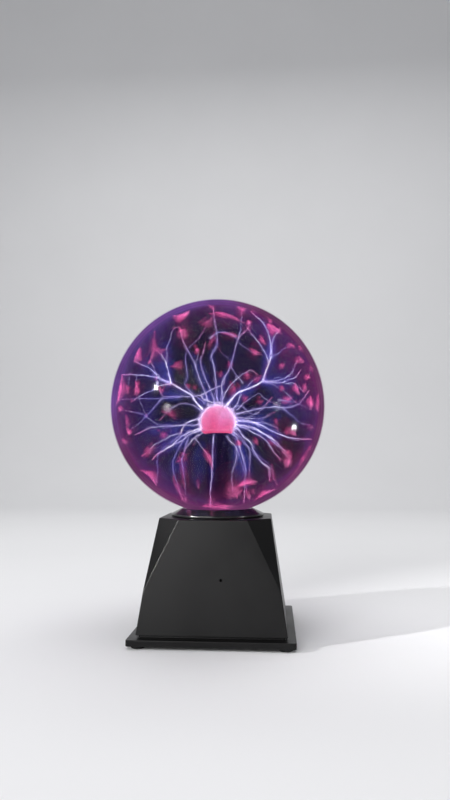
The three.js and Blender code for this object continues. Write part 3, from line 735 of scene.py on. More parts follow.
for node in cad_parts:
    if node.startswith(("clamp_screw", "base_screw", "board_screw")):
        CAD_FINISHES[node] = SCREW_STEEL
    if node.startswith("switch_terminal"):
        CAD_FINISHES[node] = NICKEL
for node, material in CAD_FINISHES.items():
    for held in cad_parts[node].material_slots:
        held.material = material


# ---- Glass -------------------------------------------------------------------------------------------
def make_globe():
    """The globe: a sphere that runs into a straight neck, with an even wall, turned about +Z. The outside
    goes up from the neck's end, over the top, and the inside comes back down."""
    z = GLOBE_CENTRE[2]
    inside = GLOBE_RADIUS - GLASS_WALL
    neck_in = NECK_RADIUS - GLASS_WALL
    out_start = -math.degrees(math.acos(NECK_RADIUS / GLOBE_RADIUS))
    in_start = -math.degrees(math.acos(neck_in / inside))
    outer = arc(0, z, GLOBE_RADIUS, out_start, 89.9, 72)
    inner = arc(0, z, inside, 89.9, in_start, 72)
    foot = np.array([[neck_in, GLOBE_LOW[2]], [NECK_RADIUS, GLOBE_LOW[2]]])
    points, faces = lathe(np.concatenate([foot, outer, inner]), 96, closed=True)
    make_piece("globe", points, faces, GLASS, instead_of=("globe_glass",))


def make_gas():
    """The gas's own glow: a ball just inside the glass."""
    profile = arc(0, GLOBE_CENTRE[2], GAS_RADIUS, -90, 90, 73)
    points, faces = lathe(profile, 96)
    make_piece("gas_glow", points, faces, GAS)


def make_stem():
    """The stem: a tube with a flared foot, closed at the top inside the electrode."""
    low, high = STEM_LOW[2], STEM_HIGH[2]
    flare = STEM_HIGH[0]
    outer = [(flare, low), (flare, low + 1.8), (15, low + 6), (12, low + 9.5), (STEM_RADIUS, low + 14),
             (STEM_RADIUS, high - 0.05)]
    inner = [(STEM_RADIUS - 1.5, high - 0.05), (STEM_RADIUS - 1.5, low + 13.5), (13.4, low + 5),
             (flare - 1.4, low)]
    points, faces = lathe(rounded(outer + inner, 0.5, 3), 48, closed=True)
    make_piece("stem", points, faces, STEM, instead_of=("glass_stem",))


def make_electrode():
    """The electrode: a ball with a flat shoulder below, its edge rounded over."""
    shoulder = BULB_LOW[2] - BULB_CENTRE[2]
    start = math.degrees(math.asin(shoulder / BULB_RADIUS)) + 3  # degrees, a little above the shoulder
    ball = arc(0, BULB_CENTRE[2], BULB_RADIUS, start, 90, 34)
    edge = ball[0] - [0.9, 0]
    profile = np.concatenate([[[0, BULB_LOW[2]], [STEM_RADIUS + 0.3, BULB_LOW[2]],
                               [edge[0] - 0.6, BULB_LOW[2]]], [edge - [0, 0.35]], ball])
    points, faces = lathe(profile, 56)
    make_piece("electrode", points, faces, ELECTRODE, instead_of=("electrode_bulb",))


def make_electrode_light():
    """The light round the electrode: a skin just off the glass, and a wide round aura, a tube whose radius
    swells and shrinks as a ball's does."""
    ball = arc(0, BULB_CENTRE[2], BULB_RADIUS + 2.6, -24, 90, 30)
    points, faces = lathe(np.concatenate([[[0, BULB_LOW[2] + 1.5]], ball]), 56)
    make_piece("electrode_skin_light", points, faces, SKIN_LIGHT)
    middle = BULB_CENTRE + [0, 0, 4.0]
    path = smooth_path([middle - [0, 0, 17], middle, middle + [0, 0, 17]], 17)
    swell = 24 * np.sqrt(1 - np.linspace(-0.96, 0.96, len(path)) ** 2)
    gather("electrode_aura", [tube(path, swell, 32, LAVENDER * 0.8)], MIST)


# ---- Streamers ---------------------------------------------------------------------------------------
# A front drawing of the discharge, in millimetres across and up from the globe's centre. Each streamer has
# the depth it starts at, how far it goes towards the near glass (1) or the far glass (-1), its brightness,
# and its points from the electrode outwards.
STREAMERS = [
    # upper left trunk and its fan
    (8, 0.55, 1.0, [(-15, -3), (-21, 4), (-27, 11), (-36, 17), (-45, 21), (-49, 21)]),
    (38, NEAR, 0.62, [(-45, 21), (-50, 24), (-58, 27), (-68, 29), (-78, 30), (-93, 30)]),
    (38, NEAR, 0.5, [(-56, 26), (-62, 33), (-69, 38), (-76, 41), (-80, 43)]),
    (36, NEAR, 0.5, [(-52, 24), (-58, 29), (-62, 37), (-65, 43)]),
    (30, 0.9, 0.75, [(-45, 21), (-47, 30), (-49, 38), (-51, 44), (-56, 51), (-59, 54)]),
    (34, NEAR, 0.45, [(-50, 42), (-49, 52), (-47, 62), (-43, 73), (-38, 76)]),
    (32, NEAR, 0.5, [(-49, 21), (-56, 20), (-59, 27)]),
    (40, NEAR, 0.45, [(-58, 24), (-60, 17), (-68, 13), (-76, 9), (-83, 4)]),
    (-6, FAR, 0.5, [(-14, 11), (-24, 9), (-34, 9), (-46, 9), (-53, 10), (-57, 17)]),
    (-10, FAR, 0.3, [(-34, 9), (-54, 7), (-76, 7), (-99, 6)]),
    (-14, FAR, 0.32, [(-53, 8), (-60, 0), (-68, -9), (-75, -16), (-83, -22), (-88, -25)]),
    (-12, FAR, 0.35, [(-36, -19), (-52, -19), (-59, -17), (-68, -11), (-81, -6), (-95, -3)]),
    (30, NEAR, 0.28, [(-76, 8), (-72, -3), (-68, -10)]),
    (30, NEAR, 0.3, [(-78, 30), (-79, 22), (-79, 14)]),
    (34, NEAR, 0.22, [(-85, 28), (-86, 20), (-88, 14)]),
    # upwards
    (6, NEAR, 0.55, [(-9, 0), (-13, 15), (-18, 28), (-23, 41), (-29, 54), (-35, 67), (-36, 73)]),
    (-8, FAR, 0.35, [(-12, 2), (-31, 19), (-29, 28), (-31, 41), (-31, 49), (-28, 56), (-21, 62), (-15, 70),
                     (-11, 78)]),
    (16, NEAR, 0.4, [(-22, 40), (-19, 48), (-20, 54)]),
    (4, NEAR, 0.55, [(0, 2), (-1, 10), (-2, 25), (-4, 38), (-6, 49), (-1, 60), (-1, 70), (-3, 80), (-4, 89),
                     (-5, 96)]),
    (8, NEAR, 0.5, [(4, 2), (4, 11), (4, 22), (10, 33), (15, 49), (20, 65), (28, 74), (31, 81)]),
    (26, NEAR, 0.4, [(20, 65), (22, 76), (23, 90)]),
    (-6, FAR, 0.4, [(2, 2), (3, 12), (5, 24), (10, 34), (13, 38)]),
    (-20, FAR, 0.4, [(24, 22), (17, 31), (13, 38), (12, 44), (4, 51), (-1, 58)]),
    (-30, FAR, 0.4, [(-8, 65), (2, 71), (15, 68), (20, 62), (25, 57), (34, 51), (44, 49)]),
    (12, 0.6, 0.6, [(-13, 5), (-16, 10), (-12, 12), (-4, 17), (5, 20), (7, 27)]),
    (14, 0.4, 0.7, [(-12, 6), (-9, 5), (-5, 3), (0, 4), (4, 1)]),
    # upper right trunk and its fans
    (8, 0.5, 1.0, [(9, 1), (13, 6), (20, 13), (30, 17), (37, 20), (43, 24), (46, 33), (49, 41), (51, 46)]),
    (32, NEAR, 0.5, [(49, 42), (44, 54), (36, 65), (30, 73), (28, 75)]),
    (32, NEAR, 0.6, [(51, 46), (51, 60), (48, 71), (44, 79), (37, 86), (32, 91)]),
    (32, NEAR, 0.6, [(51, 46), (52, 60), (54, 66), (57, 70), (60, 75)]),
    (34, NEAR, 0.3, [(51, 47), (60, 52), (69, 59), (72, 60)]),
    (28, NEAR, 0.55, [(43, 24), (53, 24), (63, 26), (71, 32), (75, 40), (76, 44)]),
    (28, NEAR, 0.6, [(43, 24), (58, 22), (68, 25), (75, 28), (80, 35)]),
    (28, NEAR, 0.55, [(43, 24), (61, 22), (72, 22), (76, 19), (83, 13)]),
    (26, NEAR, 0.4, [(43, 24), (56, 19), (65, 13), (71, 7), (75, 3)]),
    (-10, FAR, 0.55, [(14, -6), (19, 4), (22, 10), (27, 18), (33, 24), (40, 28)]),
    # right
    (4, 0.9, 0.55, [(17, -8), (30, -5), (42, -2), (53, -1), (63, -2), (71, -1), (79, 3), (85, 11), (88, 15)]),
    (-16, FAR, 0.4, [(18, -4), (36, 11), (44, 8), (53, 3), (58, 0)]),
    (30, NEAR, 0.28, [(62, -2), (71, -9), (79, -16), (90, -19)]),
    (-20, FAR, 0.3, [(58, 6), (74, 3), (82, 0), (90, -4)]),
    # lower right bundle
    (6, NEAR, 0.8, [(16, -14), (30, -15), (41, -18), (50, -23), (60, -28), (72, -31), (90, -32)]),
    (4, NEAR, 0.8, [(16, -18), (30, -20), (42, -25), (52, -31), (60, -39), (67, -45)]),
    (-4, FAR, 0.7, [(16, -17), (33, -22), (45, -27), (53, -34), (60, -41), (68, -50)]),
    (-6, FAR, 0.6, [(16, -11), (30, -12), (41, -12), (50, -9), (55, -6)]),
    (-2, FAR, 0.6, [(17, -15), (36, -16), (47, -17), (56, -20), (58, -24)]),
    (4, NEAR, 0.6, [(14, -20), (28, -22), (40, -29), (50, -38), (60, -52)]),
    # downwards on the right
    (8, NEAR, 0.7, [(13, -22), (20, -22), (26, -31), (34, -41), (41, -52), (48, -61), (50, -72)]),
    (6, NEAR, 0.65, [(12, -23), (18, -28), (20, -35), (24, -49), (26, -61), (26, -77), (25, -93)]),
    (4, NEAR, 0.6, [(8, -26), (8, -29), (12, -34), (18, -39), (17, -52), (14, -66), (14, -82)]),
    (-6, FAR, 0.5, [(14, -24), (22, -32), (30, -41), (31, -50), (30, -65), (31, -70)]),
    (-4, FAR, 0.45, [(12, -24), (19, -33), (20, -46), (23, -55), (26, -70), (28, -84)]),
    (6, NEAR, 0.3, [(16, -22), (30, -40), (44, -52), (52, -60), (54, -72)]),
    # lower left
    (10, NEAR, 0.6, [(-2, -26), (-4, -29), (-5, -39), (-5, -52), (-6, -66), (-7, -84), (-7, -96)]),
    (6, 0.5, 0.85, [(-17, -13), (-25, -14), (-32, -18), (-35, -24), (-36, -27)]),
    (6, NEAR, 0.75, [(-16, -22), (-25, -24), (-34, -29), (-42, -36), (-51, -42), (-59, -47), (-63, -52)]),
    (-2, FAR, 0.7, [(-16, -23), (-27, -28), (-35, -33), (-45, -39), (-58, -46)]),
    (2, NEAR, 0.6, [(-14, -25), (-24, -32), (-29, -38), (-33, -46)]),
    (6, NEAR, 0.6, [(-36, -27), (-43, -28), (-52, -33), (-62, -38), (-66, -46)]),
    (-4, FAR, 0.6, [(-17, -18), (-36, -19), (-46, -19), (-54, -20), (-67, -22), (-80, -28)]),
    (4, NEAR, 0.45, [(-22, -31), (-16, -39), (-10, -47), (-5, -57), (-6, -62)]),
    (-10, FAR, 0.35, [(-30, -28), (-41, -47), (-43, -58), (-40, -73), (-34, -90)]),
    (8, NEAR, 0.3, [(-36, -28), (-56, -44), (-58, -52), (-58, -63), (-60, -79)]),
    (-8, FAR, 0.3, [(-28, -30), (-34, -48), (-33, -65), (-31, -80), (-31, -92)]),
    # behind the electrode, seen past it from the sides
    (-12, FAR, 0.6, [(3, 2), (12, 20), (30, 34), (38, 30)]),
    (-14, FAR, 0.6, [(-2, -8), (-6, 14), (-16, 36), (-12, 62)]),
    (-14, FAR, 0.55, [(0, -18), (8, -40), (4, -70), (6, -88)]),
    (-14, FAR, 0.55, [(-6, -15), (-26, 2), (-44, -2), (-56, -14)]),
    (-14, FAR, 0.55, [(4, -10), (20, 0), (36, -8), (52, 8)]),
    (-15, FAR, 0.45, [(0, -6), (-3, 6), (-2, 22)]),
    (-15, FAR, 0.45, [(-3, -14), (-12, -20), (-24, -38)]),
    (-15, FAR, 0.45, [(4, -14), (12, -22), (22, -46)]),
]
DEPTH_EASE = 0.85  # below 1, a streamer gains most of its depth early
REACHES_GLASS = 0.85  # a streamer that goes this far turns rose where it ends
PAIRED = 0.45  # a streamer brighter than this has a fainter one beside it
ROOT_POINTS = 7  # points of the path in the bright root


def smooth_path(points, count):
    """A Catmull-Rom curve through the points, sampled at equal steps of its length."""
    p = np.asarray(points, float)
    p = np.concatenate([2 * p[:1] - p[1:2], p, 2 * p[-1:] - p[-2:-1]])
    t = np.linspace(0, 1, 12, endpoint=False)[None, :, None]
    a, b, c, d = p[:-3, None], p[1:-2, None], p[2:-1, None], p[3:, None]
    fine = 0.5 * (2 * b + (c - a) * t + (2 * a - 5 * b + 4 * c - d) * t**2 + (3 * b - a - 3 * c + d) * t**3)
    fine = np.concatenate([fine.reshape(-1, p.shape[1]), p[-2:-1]])
    run = np.concatenate([[0], np.cumsum(np.linalg.norm(np.diff(fine, axis=0), axis=1))])
    at = np.linspace(0, run[-1], count)
    return np.stack([np.interp(at, run, fine[:, k]) for k in range(fine.shape[1])], -1)


def wander(count, size, waves):
    """A smooth random walk off a path: a few sine waves of random phase in each axis, zero at both ends."""
    s = np.linspace(0, 1, count)[:, None, None]
    phase = RNG.uniform(0, 2 * np.pi, (1, waves, 3))
    weight = RNG.normal(0, 1, (1, waves, 3)) / np.arange(1, waves + 1)[None, :, None]
    rate = np.arange(1, waves + 1)[None, :, None] * 2.2
    return size * (weight * np.sin(2 * np.pi * rate * s + phase)).sum(1) * np.sin(np.pi * s[:, 0]) ** 0.5


def path_of(streamer):
    """A streamer's path in space, from its drawn points and the depths at its two ends."""
    start, side, _, drawn = streamer
    drawn = np.asarray(drawn, float)
    run = np.concatenate([[0], np.cumsum(np.linalg.norm(np.diff(drawn, axis=0), axis=1))])
    share = (run / run[-1]) ** DEPTH_EASE
    end = glass_depth(drawn[-1], NEAR if side > 0 else FAR) * abs(side)
    count = int(np.clip(run[-1] / 2.0, 10, 60))
    path = smooth_path(to_space(drawn, start + (end - start) * share), count)
    return inside_glass(path + wander(count, 0.35, 5))


def tube(path, radii, sides, colours):
    """Points, faces and colours of a tube along a path: at each point of it a circle of its radius, square
    to the path, and a pole beyond each end by half the radius there. Colours are one for each point of the
    path, or one for all."""
    path = np.asarray(path, float)
    ahead = np.gradient(path, axis=0)
    ahead /= np.linalg.norm(ahead, axis=1, keepdims=True)
    least = np.eye(3)[np.argmin(np.abs(ahead.mean(0)))]
    across = np.cross(ahead, least)
    across /= np.linalg.norm(across, axis=1, keepdims=True)
    other = np.cross(ahead, across)
    a = np.linspace(0, 2 * np.pi, sides, endpoint=False)[None, :, None]
    ring = np.cos(a) * across[:, None] + np.sin(a) * other[:, None]
    poles = [path[0] - ahead[0] * radii[0] * 0.5, path[-1] + ahead[-1] * radii[-1] * 0.5]
    points, faces = with_poles(path[:, None] + ring * np.asarray(radii)[:, None, None], poles)
    colours = np.broadcast_to(colours, (len(path), 3))
    return points, faces, np.concatenate([np.repeat(colours, sides, 0), colours[[0, -1]]])


def gather(name, parts, material):
    """One piece from many (points, faces, colours) parts, with the colours kept on its points."""
    starts = np.cumsum([0] + [len(points) for points, _, _ in parts])
    blocks = [block + start for (_, faces, _), start in zip(parts, starts) for block in faces]
    piece = make_piece(name, np.concatenate([points for points, _, _ in parts]), blocks, material)
    rgba = np.concatenate([np.concatenate([colours for _, _, colours in parts]), np.ones((starts[-1], 1))], 1)
    tint = piece.data.attributes.new(TINT, "FLOAT_COLOR", "POINT")
    tint.data.foreach_set("color", rgba.astype(np.float32).ravel())


WHITE_HOT = np.array([0.86, 0.80, 1.0])
PALE = np.array([0.34, 0.28, 0.58])
DIM = np.array([0.12, 0.09, 0.25])
LAVENDER = np.array([0.42, 0.33, 0.90])
VIOLET = np.array([0.17, 0.13, 0.62])
BLUE = np.array([0.06, 0.07, 0.50])
PINK = np.array([0.85, 0.11, 0.34])
ROSE = np.array([0.80, 0.24, 0.52])
CORE_PINK = np.array([0.95, 0.17, 0.46])
SHEATH_COLOURS = np.array([LAVENDER, VIOLET, PINK * 0.4])
HALO_COLOURS = np.array([VIOLET * 1.3, BLUE * 1.3, PINK * 0.25])
ROOT_COLOURS = np.array([WHITE_HOT, LAVENDER, VIOLET * 0.3])


def between(value, stops, colours):
    """Colours read off a scale at each value."""
    return np.stack([np.interp(value, stops, [c[k] for c in colours]) for k in range(3)], -1)


def thread_part(path, level, thick, rose):
    """One bright thread: white hot where its level is high, lavender and violet as it falls, and turning rose
    over its last quarter when it ends on the glass. Its level and thickness fall along it, and pulse."""
    s = np.linspace(0, 1, len(path))
    pulse = 1 + 0.22 * np.sin(s * RNG.uniform(9, 22) + RNG.uniform(0, 6))
    level = level * (1 - 0.3 * s) * pulse
    colour = between(level, [0.05, 0.3, 0.8], [DIM, PALE, WHITE_HOT])
    ends = np.clip((s - 0.75) / 0.25, 0, 1)[:, None] * rose
    colour = colour * (1 - ends) + ROSE * ends * 0.8
    radius = thick * (1 - 0.4 * s) * (0.7 + 0.3 * pulse)
    return tube(path, radius, 6, colour)


def glow_part(path, wide, colours):
    """A soft tube of light round a path, thinning towards its end, its colours spread along it."""
    path = path[::2] if len(path) > 16 else path
    s = np.linspace(0, 1, len(path))
    return tube(path, wide * (1 - 0.3 * s), 10, between(s, [0, 0.5, 1], colours))


def make_streamers():
    """Every streamer: a bright thread, in a narrow sheath of light, in a wide halo, with a bright root. All
    of them are wider and stronger where the streamer is brighter."""
    threads, sheaths, halos, roots = [], [], [], []
    for streamer in STREAMERS:
        _, side, bright, _ = streamer
        rose = float(abs(side) > REACHES_GLASS)
        path = path_of(streamer)
        threads.append(thread_part(path, bright, 0.13 + 0.62 * bright**1.8, rose))
        power = 0.12 + 0.88 * bright**1.5
        sheaths.append(glow_part(path, 0.8 + 1.7 * bright, SHEATH_COLOURS * power))
        halos.append(glow_part(path, 3.0 + 4.0 * bright, HALO_COLOURS * power))
        roots.append(glow_part(path[:ROOT_POINTS], 1.2 + 1.4 * bright, ROOT_COLOURS * power))
        if bright > PAIRED:
            beside = inside_glass(path + wander(len(path), 1.3, 4))
            threads.append(thread_part(beside, bright * 0.5, 0.13 + 0.15 * bright, rose))
    gather("streamers", threads, STREAMER)
    gather("streamer_sheaths", sheaths + roots, SHEATH)
    gather("streamer_halos", halos, HALO)


# ---- Pads of light on the glass ----------------------------------------------------------------------
# Where streamers meet the glass: the side (near or far), width in millimetres, brightness, and the
# drawn points that the pad runs through.
PADS = [
    (NEAR, 4.5, 1.0, [(-44, 86), (-36, 88), (-28, 91)]),
    (NEAR, 5.0, 0.9, [(-38, 76), (-35, 72), (-36, 68)]),
    (NEAR, 4.0, 0.7, [(-61, 72), (-63, 58), (-64, 50), (-67, 40)]),
    (NEAR, 3.5, 0.6, [(-64, 55), (-56, 54), (-48, 55)]),
    (NEAR, 4.0, 0.9, [(-75, 56), (-79, 49), (-81, 42)]),
    (NEAR, 2.6, 1.0, [(-10, 97), (-5, 96), (-4, 92)]),
    (FAR, 3.6, 0.7, [(-8, 89), (4, 90), (16, 86), (26, 80)]),
    (FAR, 5.0, 0.45, [(-16, 78), (-10, 82), (-5, 86)]), (FAR, 4.5, 0.5, [(-3, 72), (-6, 64), (-10, 57)]),
    (FAR, 3.0, 0.7, [(2, 71), (12, 70), (20, 66)]), (NEAR, 3.0, 0.7, [(-21, 56), (-20, 52)]),
    (FAR, 5.0, 0.5, [(-46, 38), (-40, 40), (-34, 42)]), (NEAR, 3.0, 0.9, [(18, 96), (23, 95), (28, 94)]),
    (NEAR, 2.6, 0.9, [(23, 93), (23, 88)]), (NEAR, 3.2, 0.9, [(29, 83), (32, 80)]),
    (NEAR, 3.0, 0.9, [(49, 85), (53, 83)]), (NEAR, 5.0, 1.0, [(48, 79), (56, 76), (61, 72)]),
    (FAR, 4.5, 0.7, [(40, 68), (43, 65), (45, 60)]), (FAR, 4.0, 0.8, [(30, 56), (36, 53), (41, 51)]),
    (NEAR, 3.5, 0.8, [(70, 61), (73, 58)]), (NEAR, 3.0, 0.8, [(80, 60), (83, 55)]),
    (NEAR, 4.5, 0.6, [(78, 48), (83, 43)]), (NEAR, 3.0, 0.8, [(91, 40), (93, 34)]),
    (FAR, 4.0, 0.6, [(60, 40), (65, 39)]), (NEAR, 3.2, 0.7, [(87, 30), (89, 27)]),
    (NEAR, 2.8, 0.7, [(84, 22), (85, 14)]), (NEAR, 3.6, 0.7, [(74, 22), (77, 16), (79, 10)]),
    (FAR, 5.0, 0.55, [(28, 34), (30, 27)]), (FAR, 4.5, 0.6, [(36, 24), (42, 29)]),
    (FAR, 6.0, 0.4, [(12, 24), (15, 16), (13, 8)]), (FAR, 3.0, 0.6, [(-31, 21), (-28, 17)]),
    (FAR, 3.0, 0.4, [(-24, 20), (-22, 16)]), (FAR, 3.0, 0.6, [(10, 43), (13, 36)]),
    (FAR, 5.0, 0.9, [(62, 3), (68, 6), (72, 9)]), (FAR, 4.0, 0.4, [(38, 3), (44, 5)]),
    (FAR, 4.0, 0.6, [(24, 4), (29, 9)]), (NEAR, 3.4, 0.9, [(89, 10), (91, 3), (90, -4)]),
    (NEAR, 3.0, 0.8, [(97, 12), (98, 4), (97, -6)]), (FAR, 3.0, 0.5, [(56, -12), (58, -19)]),
    (NEAR, 4.5, 0.8, [(66, -27), (72, -25), (76, -28)]), (NEAR, 3.0, 0.6, [(87, -19), (92, -21)]),
    (NEAR, 3.0, 0.8, [(20, -33), (21, -39)]), (FAR, 4.0, 0.5, [(35, -30), (39, -38)]),
    (FAR, 4.5, 0.5, [(50, -34), (57, -38)]), (NEAR, 5.5, 0.9, [(64, -45), (70, -50), (67, -60)]),
    (NEAR, 3.4, 0.7, [(52, -56), (54, -66), (57, -76)]),
    (NEAR, 2.6, 0.7, [(94, -30), (90, -42), (84, -52), (76, -64), (64, -76)]),
    (NEAR, 3.2, 0.9, [(19, -77), (28, -75), (38, -73)]), (NEAR, 8.5, 0.8, [(14, -81), (18, -90)]),
    (NEAR, 3.4, 1.0, [(-35, -90), (-31, -95)]), (NEAR, 4.5, 0.8, [(28, -84), (31, -90)]),
    (NEAR, 2.4, 0.8, [(34, -92), (44, -86), (56, -80)]),
    (NEAR, 3.5, 1.0, [(-16, -97), (-7, -98), (6, -99), (18, -97)]),
    (NEAR, 4.0, 0.9, [(-7, -90), (-7, -97)]),
    (NEAR, 4.6, 0.9, [(-43, -68), (-41, -78), (-36, -87), (-31, -94)]),
    (FAR, 4.5, 0.6, [(-36, -50), (-34, -64), (-32, -80)]), (FAR, 5.0, 0.45, [(-40, -54), (-30, -50)]),
    (FAR, 3.6, 0.35, [(-20, -72), (-19, -80)]), (NEAR, 4.0, 0.7, [(-74, -62), (-66, -68), (-59, -76)]),
    (NEAR, 3.0, 0.7, [(-58, -72), (-60, -80)]), (NEAR, 5.5, 0.8, [(-73, -49), (-68, -45), (-62, -40)]),
    (NEAR, 3.0, 0.8, [(-93, -33), (-90, -37)]), (NEAR, 3.0, 0.8, [(-88, -22), (-86, -28)]),
    (NEAR, 2.6, 0.8, [(-96, -1), (-94, -5)]),
    (NEAR, 3.4, 0.8, [(-92, 30), (-94, 20), (-96, 10), (-98, 0)]),
    (NEAR, 2.8, 0.5, [(-88, 20), (-88, 12)]), (NEAR, 3.0, 0.7, [(-79, 24), (-79, 16), (-80, 10)]),
    (NEAR, 3.0, 0.35, [(-89, -8), (-88, -22)]), (FAR, 5.0, 0.4, [(-54, -5), (-46, -8), (-40, -13)]),
    (FAR, 4.5, 0.5, [(-56, -26), (-50, -32)]), (NEAR, 3.8, 0.7, [(-14, -42), (-9, -50), (-6, -58)]),
    (FAR, 4.0, 0.45, [(-57, 20), (-55, 12)]), (NEAR, 3.0, 0.5, [(60, 20), (64, 16)]),
    (FAR, 4.0, 0.4, [(4, 34), (2, 28)]),
]
LOBES = ["body", "feather", "feather", "feather", "feather", "veil"]
LOBE_WIDTH = {"body": 0.95, "veil": 2.3}
LOBE_LIGHT = {"body": 1.0, "feather": 0.6, "veil": 0.10}
SPINE_STEPS = 59


def pad_parts(pad):
    """A pad: soft tubes that touch the glass from inside, thickest in the middle. A core and a body run its
    whole length, four shorter and thinner ones beside them are its feathered edges, and a wide faint one is
    a veil round it."""
    side, width, bright, drawn = pad
    ends = np.asarray(drawn, float)
    if len(ends) == 2:
        ends = np.insert(ends, 1, ends.mean(0), axis=0)
    spine = to_space(ends, [glass_depth(p, side) for p in ends])
    run = np.linalg.norm(np.diff(spine, axis=0), axis=1).sum()
    whole = smooth_path(spine, SPINE_STEPS + 1)
    radius = 0.5 * width * np.sin(np.pi * np.linspace(0.06, 0.94, 14))
    core = against_glass(smooth_path(spine, 14) + RNG.normal(0, 0.1 * width, 3), radius)
    parts = [tube(core, radius, 10, CORE_PINK * bright)]
    for number, lobe in enumerate(LOBES):
        feather = lobe == "feather"
        share = RNG.uniform(0.45, 0.85) if feather else 1.0
        begin = RNG.uniform(0, 1 - share)
        count = int(np.clip(run * share / 1.6, 9, 26))
        stretch = whole[int(begin * SPINE_STEPS):int((begin + share) * SPINE_STEPS) + 1]
        path = smooth_path(stretch, count)
        thick = width * (RNG.uniform(0.3, 0.65) if feather else LOBE_WIDTH[lobe])
        path = path + (RNG.normal(0, 0.55 * width, 3) if feather else 0)
        s = np.linspace(0, 1, count)
        ripple = 1 + 0.2 * np.sin(7 * s + width * 7 + number)
        radius = thick * np.sin(np.pi * (0.05 + 0.9 * s)) ** 0.8 * ripple
        colour = between(s, [0, 0.5, 1], [PINK * 0.6, PINK, ROSE * 0.7]) * bright * LOBE_LIGHT[lobe]
        parts.append(tube(against_glass(path, radius), radius, 12, colour))
    return parts


# ---- Mist round the bundles --------------------------------------------------------------------------
# Wide soft light between neighbouring streamers and behind the stem: start and end depth, width, brightness,
# drawn points.
MISTS = [
    (30, 60, 11, 0.9, [(40, 24), (56, 22), (74, 24)]), (20, 40, 9, 0.8, [(44, 30), (50, 46), (52, 66)]),
    (24, 40, 10, 0.8, [(-30, 12), (-44, 12), (-56, 14)]),
    (30, 50, 12, 0.8, [(-46, 24), (-60, 36), (-74, 42)]),
    (28, 50, 11, 0.7, [(-46, 28), (-50, 44), (-50, 62)]),
    (10, 40, 13, 0.9, [(20, -14), (42, -20), (60, -34)]),
    (0, -40, 12, 0.7, [(24, -14), (44, -12), (60, -10)]),
    (6, 40, 13, 0.9, [(-22, -22), (-42, -32), (-60, -44)]),
    (0, -40, 12, 0.7, [(-24, -18), (-46, -22), (-64, -26)]),
    (8, 30, 11, 0.6, [(16, -28), (24, -52), (28, -80)]),
    (10, 30, 9, 0.6, [(-6, 6), (-14, 26), (-26, 52)]), (6, 20, 8, 0.7, [(2, 4), (4, 18), (8, 34)]),
    (-10, -40, 10, 0.8, [(16, -2), (28, 14), (38, 28)]), (4, 10, 10, 0.9, [(-16, -2), (-12, 6), (-2, 8)]),
    (-20, -60, 14, 0.5, [(40, 0), (60, 4), (78, 8)]),
    (-20, -60, 14, 0.5, [(-30, -50), (-42, -66), (-40, -84)]),
    (-24, -44, 12, 0.5, [(-14, -34), (-19, -58), (-21, -82)]),
    (-24, -44, 12, 0.7, [(18, -34), (22, -58), (24, -82)]),
]


def mist_part(mist):
    """A cloud of faint light along a path, thickest in the middle, and no wider than the gas has room for."""
    start, end, width, bright, drawn = mist
    path = smooth_path(to_space(drawn, np.linspace(start, end, len(drawn))), 18)
    s = np.linspace(0, 1, len(path))
    room = GAS_RADIUS - np.linalg.norm(path - GLOBE_CENTRE, axis=1) - 0.5
    radius = np.minimum(width * np.sin(np.pi * (0.06 + 0.88 * s)) ** 0.6, room).clip(1.0)
    return tube(path, radius, 16, BLUE * bright)


# ---- Pedestal ----------------------------------------------------------------------------------------
def cut_square(half, leg, inset, z, fillet, count=4):
    """Outlines of a square with its corners cut off, one a row: half-width and the length of side that each
    cut takes, moved in by an inset, with every corner rounded by a fillet. Each corner point of the outline
    shrunk by the fillet carries a 45 degree arc, and the two of an uncut corner meet in a quarter circle."""
    half, leg, inset, z = (np.asarray(v, float)[:, None] for v in np.broadcast_arrays(half, leg, inset, z))
    fillet = np.minimum(fillet, half * 0.2)
    side = half - inset - fillet
    slant = 2 * half - leg - (inset + fillet) * math.sqrt(2)
    short = np.minimum(slant - side, side)
    t = np.linspace(0, math.pi / 4, count)[None]
    x = np.concatenate([side + fillet * np.cos(t), short + fillet * np.cos(t + math.pi / 4)], 1)
    y = np.concatenate([short + fillet * np.sin(t), side + fillet * np.sin(t + math.pi / 4)], 1)
    quarter = np.stack([x, y], -1)
    turns = [np.array([[math.cos(a), -math.sin(a)], [math.sin(a), math.cos(a)]])
             for a in np.arange(4) * math.pi / 2]
    outline = np.concatenate([quarter @ turn.T for turn in turns], 1)
    return np.concatenate([outline, np.broadcast_to(z[:, :, None], (*outline.shape[:2], 1))], -1)


def facet_leg(z):
    """How much of each side the corner facets take at a height."""
    share = (np.asarray(z, float) - FACET_START_Z) / (SHELL_HIGH[2] - FACET_START_Z)
    return FACET_TOP_LEG * np.clip(share, 0, 1)


def ring_rows(radius, z, like):
    """Circles with their points on the same bearings as an outline's points."""
    bearing = np.arctan2(like[:, 1], like[:, 0])
    radius, z = np.asarray(radius, float)[:, None], np.asarray(z, float)[:, None]
    return np.stack([radius * np.cos(bearing), radius * np.sin(bearing),
                     np.broadcast_to(z, (len(z), len(bearing)))], -1)


